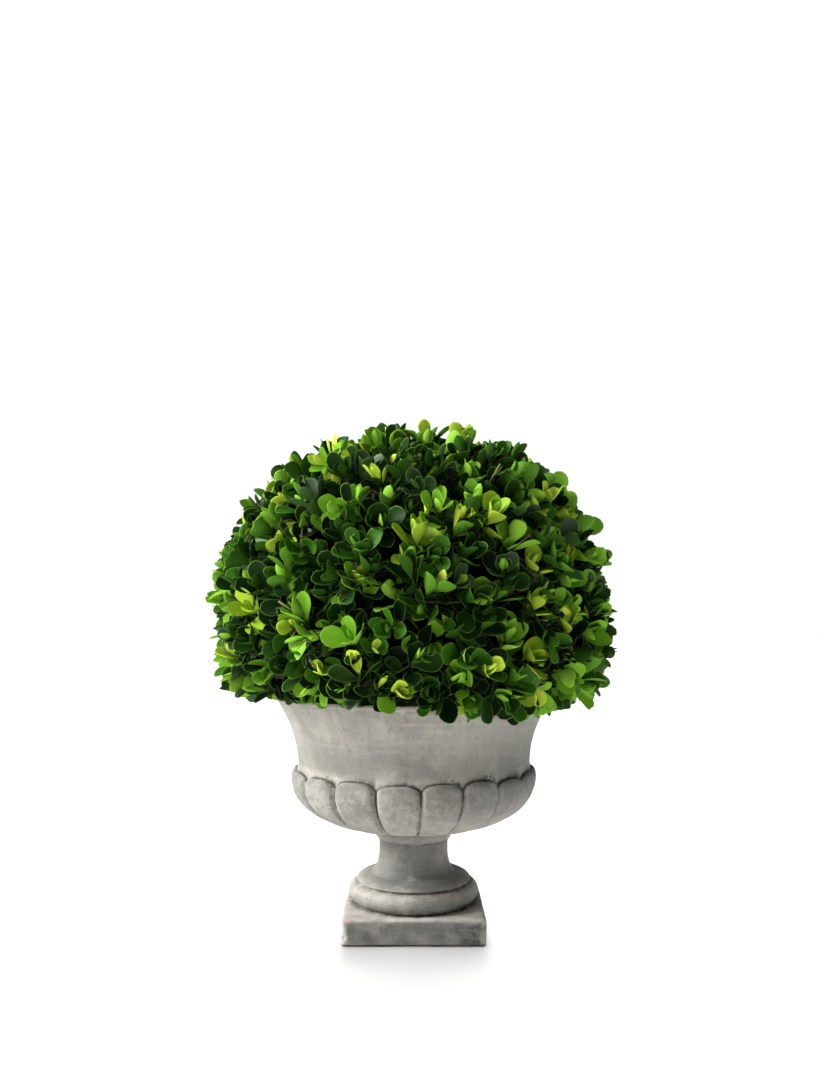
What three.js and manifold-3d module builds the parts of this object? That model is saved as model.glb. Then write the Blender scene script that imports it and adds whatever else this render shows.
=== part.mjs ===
// A clipped box ball standing in a small pedestal urn.
// Millimetres, +Z up, origin at the centre of the plinth's underside, -Y is the front.
//
// The urn is one casting: a square plinth, a turned foot, and a bowl whose underside is
// ringed with gadroons (the raised, petal-like lobes). The filling closes the bowl and carries
// a short woody stem. The clipped ball is one mass: a core, twigs that fork as they leave it,
// and on every fork a rosette of paired leaves, all fused into one closed body.
import * as THREE from "three";
import { mergeVertices } from "three/addons/utils/BufferGeometryUtils.js";
import Module from "manifold-3d";

// ---------------------------------------------------------------- driving dimensions

// Urn: plinth and foot
const PLINTH_WIDTH = 110;
const PLINTH_HEIGHT = 20;
const PLINTH_CORNER = 4; // radius of the corners in plan
const PLINTH_EDGE = 1.6; // softened top and bottom edges
const TORUS_RADIUS = 52.5;
const TORUS_TOP = 35.5;
const GROOVE_DEPTH = 1.8; // between the torus and the swelling above it
const SHOULDER_RADIUS = 46.5; // that swelling
const FLARE_RADIUS = 34;
const FLARE_HEIGHT = 42.5;
const WAIST_RADIUS = 28.2; // thinnest part of the foot
const WAIST_HEIGHT = 60;
const COLLAR_RADIUS = 31;
const COLLAR_HEIGHT = 69; // underside of the collar below the bowl
const BOWL_BOTTOM = 79;
const NECK_RADIUS = 27; // where the bowl's underside springs from the foot
const SUNK = 4; // how far each part of the casting starts inside the one below it

// Urn: bowl
const GADROONS = 18;
const GADROON_DEPTH = 5.2;
const GADROON_FULL = 75; // radius from which they have their full depth
const GADROON_SHOULDER = 119; // above this the lobes round over
const GADROON_TOP = 127.5;
const GADROON_POWER = 2.7; // 2 is a round lobe; more makes it flatter, with tighter shoulders
const SEAM_ANGLE = THREE.MathUtils.degToRad(1.2); // the seam nearest the front, from -Y towards +X
const SEAM_SWAY = THREE.MathUtils.degToRad(2.1); // how far hand pressing lets the seams drift
const SWAY_START = 0.26;
const BELLY_RADIUS = 95.3; // the bowl under the lobes, at its widest
const BELLY_HEIGHT = 118;
const THROAT_RADIUS = 94.8; // the wall where it leaves the lobes
const THROAT_HEIGHT = 131;
const RIM_RADIUS = 114;
const RIM_HEIGHT = 186;
const LIP = 5; // height of the band round the rim
const LIP_EDGE = 1; // its softened corners
const WALL = 7;
const FLOOR = 14; // thickness of the bowl's bottom
const INSIDE_FLARE = 2.4; // how late the inside opens towards the rim: 1 is a straight cone

// Filling and stem
const CLEARANCE = 0.3;
const FILLING_GAP = 0.4; // all round between the filling and the bowl
const FILLING_HEIGHT = 180;
const STEM_FOOT_RADIUS = 13; // at the root flare
const ROOT_FLARE = 9; // how quickly that flare dies away up the stem
const STEM_RADIUS = 8.5;
const STEM_TIP_RADIUS = 5.5;
const STEM_TOP = 246;
const STEM_LEAN = 5; // how far the tip stands off the axis

// Ball
const BALL_CENTRE = 248;
const BALL_HALF_WIDTH = 167;
const BALL_HALF_HEIGHT = 160;
const BALL_POWER = 2.2; // 2 is an ellipsoid; a little more squares the clipped shoulders
const STRAY = 1.025; // how far past the clipped outline a tip may stand
const CORE_SHARE = 0.8; // the core's size against the ball's
const CORE_FOOT_RADIUS = 96; // the flat foot that stands on the filling
const CORE_ROWS = 9;
const CORE_SIDES = 20;
const LOWEST_BOUGH = -0.43; // sine of the angle below which no twig leaves the core
const LOWEST_LEAF = RIM_HEIGHT - 13; // no leaf hangs lower down the urn than this
const TWIGS = 54;
const TWIG_RADIUS = 2.8;
const TWIG_ROOT = 9; // how deep a twig starts in the core
const TWIG_LEAN = THREE.MathUtils.degToRad(26); // away from straight out of the core
const FORK_AT = 0.2; // how far up a twig its side twig leaves it
const FORK_LEAN = THREE.MathUtils.degToRad(38); // the other way
const TIP_SHARE = 0.918; // how far out a twig's tip stands, against the ball's reach
const WANDER = 0.08; // how far a bough strays from the even spread
const VARIED = { twig: 0.5, fork: 0.3, tip: 0.04 }; // the whole range of each seeded change

// Leaves: drawn larger than life, because a rosette here stands for a spray of smaller ones
const LEAF_LENGTH = 38;
const LEAF_WIDTH = 24;
const LEAF_SWELL = 1.9; // thickness at the ridge point
const LEAF_ROOT = 0.35; // how near the twig's axis the leaf's foot comes
const LOWER_PAIR = { below: 9, spread: THREE.MathUtils.degToRad(66), size: 1 };
const UPPER_PAIR = { below: 5, spread: THREE.MathUtils.degToRad(34), size: 0.88 };
const YOUNG = 0.7; // size of the leaf that is tried where a full-grown one has no room
const TURNS = 8; // how many ways round a rosette is tried, to clear its neighbours
const SEED = 19;

// ---------------------------------------------------------------- helpers

const wasm = await Module();
wasm.setup();

// A seeded stream of numbers from 0 to 1.
function seeded(state) {
  return () => {
    state = (state + 0x6d2b79f5) | 0;
    let mixed = Math.imul(state ^ (state >>> 15), 1 | state);
    mixed = (mixed + Math.imul(mixed ^ (mixed >>> 7), 61 | mixed)) ^ mixed;
    return ((mixed ^ (mixed >>> 14)) >>> 0) / 4294967296;
  };
}

// A closed geometry as a solid that can be joined and cut.
function solidOf(geometry) {
  const bare = geometry.index ? geometry.toNonIndexed() : geometry.clone();
  bare.deleteAttribute("normal");
  bare.deleteAttribute("uv");
  const merged = mergeVertices(bare, 1e-3);
  return new wasm.Manifold(
    new wasm.Mesh({
      numProp: 3,
      vertProperties: merged.attributes.position.array,
      triVerts: new Uint32Array(merged.index.array),
    }),
  );
}

// A solid as a geometry that three.js can show.
function geometryOf(solid) {
  const { vertProperties, triVerts, numProp, numVert } = solid.getMesh();
  const positions = new Float32Array(numVert * 3);
  for (let i = 0; i < numVert; i++)
    positions.set(vertProperties.subarray(i * numProp, i * numProp + 3), i * 3);
  const geometry = new THREE.BufferGeometry();
  geometry.setAttribute("position", new THREE.BufferAttribute(positions, 3));
  geometry.setIndex(new THREE.BufferAttribute(triVerts, 1));
  geometry.computeVertexNormals();
  return geometry;
}

// Joins many solids, neighbours first, so that no join is larger than it has to be.
function joined(solids) {
  if (solids.length === 1) return solids[0];
  const half = Math.ceil(solids.length / 2);
  return joined(solids.slice(0, half)).add(joined(solids.slice(half)));
}

// Turns a profile of (radius, height) points round the Z axis.
function turned(profile, segments) {
  const geometry = new THREE.LatheGeometry(profile, segments);
  return geometry.rotateX(Math.PI / 2); // LatheGeometry turns round Y
}

// Moves every vertex of a geometry by a rule.
function reshaped(geometry, rule) {
  const place = geometry.attributes.position;
  const point = new THREE.Vector3();
  for (let i = 0; i < place.count; i++) {
    point.fromBufferAttribute(place, i);
    rule(point);
    place.setXYZ(i, point.x, point.y, point.z);
  }
  return geometry;
}

// ---------------------------------------------------------------- the urn

function plinth() {
  const half = PLINTH_WIDTH / 2 - PLINTH_EDGE;
  const corner = PLINTH_CORNER - PLINTH_EDGE;
  const outline = new THREE.Shape();
  outline.absarc(half - corner, half - corner, corner, 0, Math.PI / 2);
  outline.absarc(corner - half, half - corner, corner, Math.PI / 2, Math.PI);
  outline.absarc(corner - half, corner - half, corner, Math.PI, 1.5 * Math.PI);
  outline.absarc(half - corner, corner - half, corner, 1.5 * Math.PI, 2 * Math.PI);
  const slab = new THREE.ExtrudeGeometry(outline, {
    depth: PLINTH_HEIGHT - 2 * PLINTH_EDGE,
    bevelThickness: PLINTH_EDGE,
    bevelSize: PLINTH_EDGE,
    bevelSegments: 2,
    curveSegments: 3,
  });
  return solidOf(slab.translate(0, 0, PLINTH_EDGE));
}

function foot() {
  const torusMiddle = (PLINTH_HEIGHT + TORUS_TOP) / 2;
  const swell = TORUS_RADIUS - SHOULDER_RADIUS + 1;
  const torus = new THREE.EllipseCurve(
    TORUS_RADIUS - swell,
    torusMiddle,
    swell,
    TORUS_TOP - torusMiddle,
    -0.38 * Math.PI,
    0.48 * Math.PI,
  );
  const shoulder = new THREE.QuadraticBezierCurve(
    new THREE.Vector2(SHOULDER_RADIUS, TORUS_TOP + GROOVE_DEPTH),
    new THREE.Vector2(SHOULDER_RADIUS - 1, FLARE_HEIGHT - 1.5),
    new THREE.Vector2(FLARE_RADIUS, FLARE_HEIGHT),
  );
  const flare = new THREE.QuadraticBezierCurve(
    new THREE.Vector2(FLARE_RADIUS, FLARE_HEIGHT),
    new THREE.Vector2(WAIST_RADIUS, WAIST_HEIGHT - 12),
    new THREE.Vector2(WAIST_RADIUS, WAIST_HEIGHT),
  );
  const profile = [
    new THREE.Vector2(0, PLINTH_HEIGHT - SUNK),
    new THREE.Vector2(TORUS_RADIUS - SUNK, PLINTH_HEIGHT - SUNK),
    ...torus.getPoints(6),
    new THREE.Vector2(SHOULDER_RADIUS - GROOVE_DEPTH, TORUS_TOP + GROOVE_DEPTH / 3),
    ...shoulder.getPoints(3),
    ...flare.getPoints(4).slice(1),
    new THREE.Vector2(WAIST_RADIUS, COLLAR_HEIGHT - 1),
    new THREE.Vector2(COLLAR_RADIUS, COLLAR_HEIGHT + 0.5),
    new THREE.Vector2(COLLAR_RADIUS, BOWL_BOTTOM + SUNK / 2),
    new THREE.Vector2(COLLAR_RADIUS - 6, BOWL_BOTTOM + SUNK + 3),
    new THREE.Vector2(0, BOWL_BOTTOM + SUNK + 3),
  ];
  return solidOf(turned(profile, 2 * GADROONS));
}

// How far a gadroon stands out: across runs from -1 to 1 between the seams on its sides.
function gadroonAt(radius, angle, height) {
  const fromSeam = (angle + Math.PI / 2 - SEAM_ANGLE) / ((2 * Math.PI) / GADROONS);
  const across = 2 * (fromSeam - Math.floor(fromSeam)) - 1;
  const over = Math.max(0, height - GADROON_SHOULDER) / (GADROON_TOP - GADROON_SHOULDER);
  const depth = GADROON_DEPTH * Math.min(1, radius / GADROON_FULL); // they run out at the neck
  const left = 1 - Math.abs(across) ** GADROON_POWER - over ** GADROON_POWER;
  return depth * Math.max(0, left) ** (1 / GADROON_POWER);
}

// Raises the gadroons on a point of the bowl, and lets it drift round with the seams.
function pressed(point) {
  const radius = Math.hypot(point.x, point.y);
  if (radius < NECK_RADIUS - 1 || point.z > THROAT_HEIGHT) return;
  const angle = Math.atan2(point.y, point.x);
  const fromFront = angle + Math.PI / 2;
  const turned = angle + SEAM_SWAY * Math.cos(2 * (fromFront + SWAY_START));
  const reach = radius + gadroonAt(radius, angle, point.z);
  point.set(reach * Math.cos(turned), reach * Math.sin(turned), point.z);
}

// The bowl's outside from its bottom to its lip, without the gadroons.
function bowlOutside() {
  const rise = RIM_HEIGHT - LIP - THROAT_HEIGHT;
  const underside = new THREE.EllipseCurve(
    NECK_RADIUS,
    BELLY_HEIGHT,
    BELLY_RADIUS - NECK_RADIUS,
    BELLY_HEIGHT - BOWL_BOTTOM,
    -Math.PI / 2,
    0,
  );
  const wall = new THREE.CubicBezierCurve(
    new THREE.Vector2(THROAT_RADIUS, THROAT_HEIGHT),
    new THREE.Vector2(THROAT_RADIUS + 1, THROAT_HEIGHT + 0.45 * rise),
    new THREE.Vector2(RIM_RADIUS - 8, RIM_HEIGHT - LIP - 0.2 * rise),
    new THREE.Vector2(RIM_RADIUS - 2, RIM_HEIGHT - LIP),
  );
  const shoulder = [0.45, 0.8, 1].map(
    (share) =>
      new THREE.Vector2(BELLY_RADIUS, THREE.MathUtils.lerp(GADROON_SHOULDER, GADROON_TOP, share)),
  );
  return [...underside.getPoints(8), ...shoulder, ...wall.getPoints(5)];
}

// The inside of the bowl at a height between the floor and the rim.
function insideRadius(height) {
  const share = Math.max(0, (height - BELLY_HEIGHT) / (RIM_HEIGHT - BELLY_HEIGHT));
  return THROAT_RADIUS - WALL + (RIM_RADIUS - THROAT_RADIUS) * share ** INSIDE_FLARE;
}

// The bowl's inside from the middle of its floor up to a height, drawn in by a gap.
function bowlInside(top, gap) {
  const reach = insideRadius(BELLY_HEIGHT) - gap;
  const depth = BELLY_HEIGHT - BOWL_BOTTOM - FLOOR - gap;
  const sweep = new THREE.EllipseCurve(0, BELLY_HEIGHT, reach, depth, -Math.PI / 2, 0);
  const wall = [0.35, 0.6, 0.8, 1].map((share) => {
    const height = THREE.MathUtils.lerp(BELLY_HEIGHT, top, share);
    return new THREE.Vector2(insideRadius(height) - gap, height);
  });
  return [...sweep.getPoints(5), ...wall];
}

function bowl() {
  const profile = [
    new THREE.Vector2(0, BOWL_BOTTOM),
    ...bowlOutside(),
    new THREE.Vector2(RIM_RADIUS, RIM_HEIGHT - LIP + LIP_EDGE),
    new THREE.Vector2(RIM_RADIUS, RIM_HEIGHT - LIP_EDGE),
    new THREE.Vector2(RIM_RADIUS - LIP_EDGE, RIM_HEIGHT),
    new THREE.Vector2(0, RIM_HEIGHT),
  ];
  const outside = reshaped(turned(profile, 4 * GADROONS).rotateZ(SEAM_ANGLE), pressed);
  const above = RIM_HEIGHT + SUNK; // the cut runs out past the rim
  const cavity = [
    ...bowlInside(RIM_HEIGHT, 0),
    new THREE.Vector2(insideRadius(RIM_HEIGHT), above),
    new THREE.Vector2(0, above),
  ];
  return solidOf(outside).subtract(solidOf(turned(cavity, 2 * GADROONS)));
}

function urn() {
  return bowl().add(foot()).add(plinth());
}

// ---------------------------------------------------------------- filling and stem

function filling() {
  const profile = [
    ...bowlInside(FILLING_HEIGHT, FILLING_GAP),
    new THREE.Vector2(0, FILLING_HEIGHT),
  ];
  return solidOf(turned(profile, 2 * GADROONS));
}

// The stem's radius at a height, grown by a gap: a root flare, then a steady taper.
function stemRadius(height) {
  const share = (height - FILLING_HEIGHT) / (STEM_TOP - FILLING_HEIGHT);
  const flare = (STEM_FOOT_RADIUS - STEM_RADIUS) * Math.exp(-ROOT_FLARE * share);
  return STEM_RADIUS + (STEM_TIP_RADIUS - STEM_RADIUS) * share + flare;
}

function stem(gap) {
  const foot = FILLING_HEIGHT + CLEARANCE - 2 * gap;
  const top = STEM_TOP + gap;
  const profile = [new THREE.Vector2(0, foot)];
  for (const share of [0, 0.12, 0.3, 0.6, 1]) {
    const height = foot + share * (top - foot);
    profile.push(new THREE.Vector2(stemRadius(Math.max(height, FILLING_HEIGHT)) + gap, height));
  }
  profile.push(new THREE.Vector2(0, top));
  return solidOf(
    reshaped(turned(profile, 10), (point) => {
      const share = (point.z - FILLING_HEIGHT) / (STEM_TOP - FILLING_HEIGHT);
      point.x += STEM_LEAN * share * share;
    }),
  );
}

// ---------------------------------------------------------------- the clipped ball

// How far the ball reaches from its centre in a direction.
function ballReach(direction) {
  const flat = Math.hypot(direction.x, direction.y) / BALL_HALF_WIDTH;
  const rise = Math.abs(direction.z) / BALL_HALF_HEIGHT;
  return (flat ** BALL_POWER + rise ** BALL_POWER) ** (-1 / BALL_POWER);
}

const ballCentre = new THREE.Vector3(0, 0, BALL_CENTRE);

// The core: the ball's own form at a smaller size, drawn in to a foot inside the rim.
function core() {
  const profile = [
    new THREE.Vector2(0, FILLING_HEIGHT + CLEARANCE),
    new THREE.Vector2(CORE_FOOT_RADIUS, FILLING_HEIGHT + CLEARANCE),
    new THREE.Vector2(CORE_FOOT_RADIUS + 2, RIM_HEIGHT + 1.5),
  ];
  const lowest = Math.asin((RIM_HEIGHT + 4 - BALL_CENTRE) / (CORE_SHARE * BALL_HALF_WIDTH));
  for (let i = 0; i < CORE_ROWS; i++) {
    const angle = THREE.MathUtils.lerp(lowest, Math.PI / 2, i / CORE_ROWS);
    const direction = new THREE.Vector3(Math.cos(angle), 0, Math.sin(angle));
    direction.multiplyScalar(CORE_SHARE * ballReach(direction));
    profile.push(new THREE.Vector2(direction.x, BALL_CENTRE + direction.z));
  }
  profile.push(new THREE.Vector2(0, BALL_CENTRE + CORE_SHARE * BALL_HALF_HEIGHT));
  return solidOf(turned(profile, CORE_SIDES)).subtract(stem(CLEARANCE));
}

// True where a twig or a leaf may be: inside the clipped outline and clear of the urn.
function inOwnSpace(point) {
  const radius = Math.hypot(point.x, point.y);
  if (point.z < RIM_HEIGHT + 1.5 && radius < RIM_RADIUS + 1.5) return false;
  if (point.z < LOWEST_LEAF) return false;
  const offset = point.clone().sub(ballCentre);
  const distance = offset.length();
  return distance < STRAY * ballReach(offset.normalize());
}

// A frame whose third axis runs along a direction, turned about it by an angle.
function frameAlong(direction, turn) {
  const upright = new THREE.Vector3(0, 0, 1);
  const swing = new THREE.Quaternion().setFromUnitVectors(upright, direction);
  return swing.multiply(new THREE.Quaternion().setFromAxisAngle(upright, turn));
}

// A three-sided twig that tapers from its foot to its tip.
function twig(from, to, footRadius, tipRadius, turn) {
  const along = to.clone().sub(from);
  const rod = new THREE.CylinderGeometry(tipRadius, footRadius, along.length(), 3);
  rod.rotateX(Math.PI / 2); // from Y to Z
  rod.translate(0, 0, along.length() / 2);
  rod.applyQuaternion(frameAlong(along.normalize(), turn));
  return solidOf(rod.translate(from.x, from.y, from.z));
}

// A leaf as a low pyramid on a five-sided, spoon-shaped outline. The flat face is its underside.
const LEAF_OUTLINE = [
  [0, 0],
  [0.55, 0.5],
  [0.95, 0.28],
  [0.95, -0.28],
  [0.55, -0.5],
];
const LEAF_RIDGE = [0.42, 0];
const LEAF_FACES = [
  [1, 0, 5],
  [2, 1, 5],
  [3, 2, 5],
  [4, 3, 5],
  [0, 4, 5],
  [0, 1, 4],
  [1, 3, 4],
  [1, 2, 3],
];

// The six corners of a leaf that leaves a twig at a point, in a frame whose Z is the twig's axis.
function leafCorners(at, frame, side, spread, size) {
  const length = LEAF_LENGTH * size;
  const along = new THREE.Vector3(side * Math.sin(spread), 0, Math.cos(spread));
  const face = new THREE.Vector3(-side * Math.cos(spread), 0, Math.sin(spread));
  const across = new THREE.Vector3().crossVectors(face, along);
  const corner = ([forward, sideways], lift) =>
    new THREE.Vector3()
      .addScaledVector(along, forward * length + LEAF_ROOT)
      .addScaledVector(across, sideways * LEAF_WIDTH * size)
      .addScaledVector(face, lift)
      .applyQuaternion(frame)
      .add(at);
  return [...LEAF_OUTLINE.map((place) => corner(place, 0)), corner(LEAF_RIDGE, LEAF_SWELL)];
}

function leafSolid(corners) {
  return new wasm.Manifold(
    new wasm.Mesh({
      numProp: 3,
      vertProperties: new Float32Array(corners.flatMap((corner) => corner.toArray())),
      triVerts: new Uint32Array(LEAF_FACES.flat()),
    }),
  );
}

// A solid with the box round it, which settles most tests of whether two solids meet.
function boxed(solid) {
  return { solid, box: solid.boundingBox() };
}

function meet(first, second) {
  const apart = (k) =>
    first.box.max[k] < second.box.min[k] || second.box.max[k] < first.box.min[k];
  if (apart(0) || apart(1) || apart(2)) return false;
  return !first.solid.intersect(second.solid).isEmpty();
}

// Even, unlined-up directions over the ball, from straight up down to the lowest bough.
function boughDirections(random) {
  const golden = Math.PI * (3 - Math.sqrt(5));
  const wander = () => WANDER * (random() - 0.5);
  return Array.from({ length: TWIGS }, (unused, i) => {
    const rise = 1 - ((i + 0.4) / TWIGS) * (1 - LOWEST_BOUGH);
    const flat = Math.sqrt(1 - rise * rise);
    const angle = i * golden;
    return new THREE.Vector3(
      flat * Math.cos(angle) + wander(),
      flat * Math.sin(angle) + wander(),
      rise + wander(),
    ).normalize();
  });
}

// A twig that leaves the core leaning one way, and the side twig that leaves it leaning the other.
function sprig(direction, random) {
  const reach = ballReach(direction);
  const turn = 2 * Math.PI * random();
  const swing = frameAlong(direction, turn);
  const leaning = (lean) =>
    new THREE.Vector3(Math.sin(lean), 0, Math.cos(lean)).applyQuaternion(swing);
  const limb = (from, lean, tipShare, root) => {
    const along = leaning(lean);
    const rise = tipShare * reach - from.distanceTo(ballCentre);
    const tip = from.clone().addScaledVector(along, rise / Math.cos(lean));
    const start = from.clone().addScaledVector(along, -root);
    return { start, along, tip, turn: 2 * Math.PI * random() };
  };
  const vary = (range) => range * (random() - 0.5);
  const surface = ballCentre.clone().addScaledVector(direction, CORE_SHARE * reach);
  const lean = -TWIG_LEAN * (1 + vary(VARIED.twig));
  const main = limb(surface, lean, TIP_SHARE + vary(VARIED.tip), TWIG_ROOT);
  const fork = surface.clone().lerp(main.tip, FORK_AT);
  const sideLean = FORK_LEAN * (1 + vary(VARIED.fork));
  const side = limb(fork, sideLean, TIP_SHARE + vary(VARIED.tip), 0);
  return [main, side];
}

// A rosette of four leaves near a twig's tip, turned by an angle: a spreading lower pair, and an
// upper pair a quarter turn round. Leaves that leave the ball's space or meet others are left out.
function rosette({ along, tip, turn }, extraTurn, others) {
  const leaves = [];
  for (const pair of [LOWER_PAIR, UPPER_PAIR]) {
    const quarter = pair === UPPER_PAIR ? Math.PI / 2 : 0;
    const at = tip.clone().addScaledVector(along, -pair.below);
    const frame = frameAlong(along, turn + extraTurn + quarter);
    for (const side of [-1, 1]) {
      const leaf = [1, YOUNG]
        .map((age) => leafCorners(at, frame, side, pair.spread, age * pair.size))
        .filter((corners) => corners.every(inOwnSpace))
        .map((corners) => boxed(leafSolid(corners)))
        .find((tried) => !others.some((other) => meet(tried, other)));
      if (leaf) leaves.push(leaf);
    }
  }
  return leaves;
}

// How much leaf a rosette has.
function leafage(leaves) {
  return leaves.reduce((sum, { solid }) => sum + solid.surfaceArea(), 0);
}

function ball() {
  const random = seeded(SEED);
  const limbs = boughDirections(random)
    .map((direction) => sprig(direction, random))
    .filter(([main]) => inOwnSpace(main.tip)) // a side twig needs its twig
    .flatMap(([main, side]) => (inOwnSpace(side.tip) ? [main, side] : [main]));
  const twigs = limbs.map(({ start, tip, turn }) =>
    boxed(twig(start, tip, TWIG_RADIUS, 0.75 * TWIG_RADIUS, turn)),
  );
  const leaves = [];
  limbs.forEach((limb, i) => {
    const others = [...twigs.filter((other, k) => k !== i), ...leaves];
    const choices = Array.from({ length: TURNS }, (unused, k) =>
      rosette(limb, (Math.PI * k) / TURNS, others),
    );
    leaves.push(...choices.reduce((best, next) => (leafage(next) > leafage(best) ? next : best)));
  });
  return core().add(joined([...twigs, ...leaves].map(({ solid }) => solid)));
}

// ---------------------------------------------------------------- the assembly

function named(name, solid, colour, roughness) {
  const material = new THREE.MeshStandardMaterial({ color: colour, roughness, metalness: 0 });
  const mesh = new THREE.Mesh(geometryOf(solid), material);
  mesh.name = name;
  return mesh;
}

const plant = new THREE.Group();
plant.add(named("urn", urn(), "#a8a39a", 0.85));
plant.add(named("filling", filling(), "#4a3d2c", 0.95));
plant.add(named("stem", stem(0), "#6b5a42", 0.85));
plant.add(named("foliage_ball", ball(), "#2f5a1c", 0.45));

export default plant;
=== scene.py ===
# %% [markdown]
# # A box topiary ball in a pedestal urn
#
# A clipped ball of small-leaved box stands in a small turned urn. The fixed frame comes first: the
# packed solids of the urn, its filling, the stem and the foliage. Every piece below is drawn to the
# sizes of the solid that it replaces, in millimetres.

# %% The frame
import math

import bmesh
import bpy
import numpy as np
from mathutils import Matrix, Quaternion, Vector, noise


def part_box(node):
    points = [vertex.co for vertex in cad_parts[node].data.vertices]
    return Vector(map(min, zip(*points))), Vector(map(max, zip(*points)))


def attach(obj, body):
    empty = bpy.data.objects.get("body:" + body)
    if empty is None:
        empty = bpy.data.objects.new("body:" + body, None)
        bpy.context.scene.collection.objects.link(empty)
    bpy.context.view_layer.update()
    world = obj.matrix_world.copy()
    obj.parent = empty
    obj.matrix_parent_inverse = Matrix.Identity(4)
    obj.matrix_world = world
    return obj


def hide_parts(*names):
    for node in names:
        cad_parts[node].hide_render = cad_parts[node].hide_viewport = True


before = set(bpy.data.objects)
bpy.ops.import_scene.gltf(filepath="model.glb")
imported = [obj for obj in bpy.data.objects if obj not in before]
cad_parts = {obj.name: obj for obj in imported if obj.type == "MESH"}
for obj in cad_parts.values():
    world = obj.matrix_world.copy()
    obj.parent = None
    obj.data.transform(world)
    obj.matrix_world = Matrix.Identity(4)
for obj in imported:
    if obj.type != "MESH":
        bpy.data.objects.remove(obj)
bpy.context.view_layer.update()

MM = 0.001
for node in sorted(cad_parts):
    low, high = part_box(node)
    print(node, [round(1000 * side) for side in high - low], "mm")

# %% [markdown]
# ## The camera
#
# The camera stands about 80 cm in front of the urn, at the height of the ball's middle, and looks
# slightly upward, so the urn sits low in the view. A camera looks along its own -Z, so a quarter
# turn about X makes it level, and a little more makes it look up. The Standard view shows colours
# as they are given, with no film curve over them.

# %% The camera
scene = bpy.context.scene
scene.view_settings.view_transform = "Standard"
scene.view_settings.look = "None"

CAMERA_PLACE = (-0.0029, -0.788, 0.250)  # in metres
CAMERA_RISE = 0.08  # radians above level
FOCAL_LENGTH = 31.3
SENSOR = 36  # the sensor's longer side, which stands upright here

camera_data = bpy.data.cameras.new("camera")
camera_data.lens = FOCAL_LENGTH
camera_data.sensor_width = SENSOR
camera = bpy.data.objects.new("camera", camera_data)
camera.location = CAMERA_PLACE
camera.rotation_euler = (math.pi / 2 + CAMERA_RISE, 0, 0)
scene.collection.objects.link(camera)
scene.camera = camera
print("camera", round(1000 * abs(CAMERA_PLACE[1])), "mm in front of the urn's axis")

# %% [markdown]
# ## Floor and dome
#
# The studio is a plain white floor under a white dome that only the camera sees. The dome glows by
# itself, so it needs no light, and it gives none: the lamps below decide how the object looks. Two
# helpers are made here and serve every piece. One sets a shader's sockets to even values. The other
# makes an object from a bmesh drawn in millimetres, and leaves it at the origin, where patterns
# measured on the object keep their place.

# %% A plain finish and a mesh object


def plain_finish(name, colour, **values):
    """A material of one even colour. Extra values set the shader's sockets, with _ for a space."""
    material = bpy.data.materials.new(name)
    material.use_nodes = True
    shader = material.node_tree.nodes["Principled BSDF"]
    shader.inputs["Base Color"].default_value = (*colour, 1)
    for socket, value in values.items():
        shader.inputs[socket.replace("_", " ")].default_value = value
    return material


def linked(name, mesh, finishes):
    """A smooth object of a mesh, in the scene, with its finishes in their slots."""
    for finish in finishes:
        mesh.materials.append(finish)
    mesh.polygons.foreach_set("use_smooth", [True] * len(mesh.polygons))
    piece = bpy.data.objects.new(name, mesh)
    scene.collection.objects.link(piece)
    return piece


def mesh_object(name, bm, finishes, scale=MM):
    """A finished object from a bmesh, which is drawn in millimetres unless scale says otherwise."""
    bmesh.ops.scale(bm, vec=(scale,) * 3, verts=bm.verts)
    mesh = bpy.data.meshes.new(name)
    bm.to_mesh(mesh)
    bm.free()
    return linked(name, mesh, finishes)


# %% Floor and dome
FLOOR_RADIUS = 9  # in metres, as is the dome's
DOME_RADIUS = 8.9
DOME_GLOW = 1.02
FLOOR_WHITE = (0.9, 0.9, 0.9)


def paper_floor():
    bm = bmesh.new()
    bmesh.ops.create_circle(bm, cap_ends=True, segments=64, radius=FLOOR_RADIUS)
    paper = plain_finish("floor_paper", FLOOR_WHITE, Roughness=0.9, Specular_IOR_Level=0.0)
    return mesh_object("floor", bm, [paper], scale=1)


def white_dome():
    bm = bmesh.new()
    bmesh.ops.create_uvsphere(bm, u_segments=48, v_segments=24, radius=DOME_RADIUS)
    bmesh.ops.reverse_faces(bm, faces=bm.faces)
    glow = plain_finish(
        "dome_white", (0, 0, 0), Roughness=1.0, Specular_IOR_Level=0.0,
        Emission_Color=(1, 1, 1, 1), Emission_Strength=DOME_GLOW,
    )
    dome = mesh_object("dome", bm, [glow], scale=1)
    dome.visible_diffuse = dome.visible_glossy = dome.visible_transmission = False
    dome.visible_shadow = False
    return dome


floor, dome = paper_floor(), white_dome()
print("floor", 2 * FLOOR_RADIUS, "m across")

# %% [markdown]
# ## Lamps and room
#
# A soft key from the left and a weak fill from the front light the object, and the room is dim in
# front and bright behind and to the left. The leaves keep their black gaps so, and the urn turns
# from light to shade. Sun lamps are far lamps, and their angle is the softness of their shadows.
# The key and the fill pass the floor by. It has three lamps of its own, low, middling and overhead,
# in line behind the urn, and later only the plinth is let shade them. That leaves one small shadow
# in front of the plinth, and none of the ball.

# %% Lamps and room
# (strength, softness, azimuth, elevation), the last three in degrees
KEY = (7.0, 30, -80, 34)
FILL = (0.40, 50, -12, 40)
OVER_FLOOR = ((1.3, 24, 180, 20), (3.1, 50, 180, 42), (3.0, 40, 180, 90))
ROOM_DIM = 0.03
ROOM_BRIGHT = 0.42
BRIGHT_SIDE = (-0.55, 0.83, 0)
ROOM_TURN = (-0.5, 0.9)  # how far toward that side the room starts and ends its turn to bright


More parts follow.
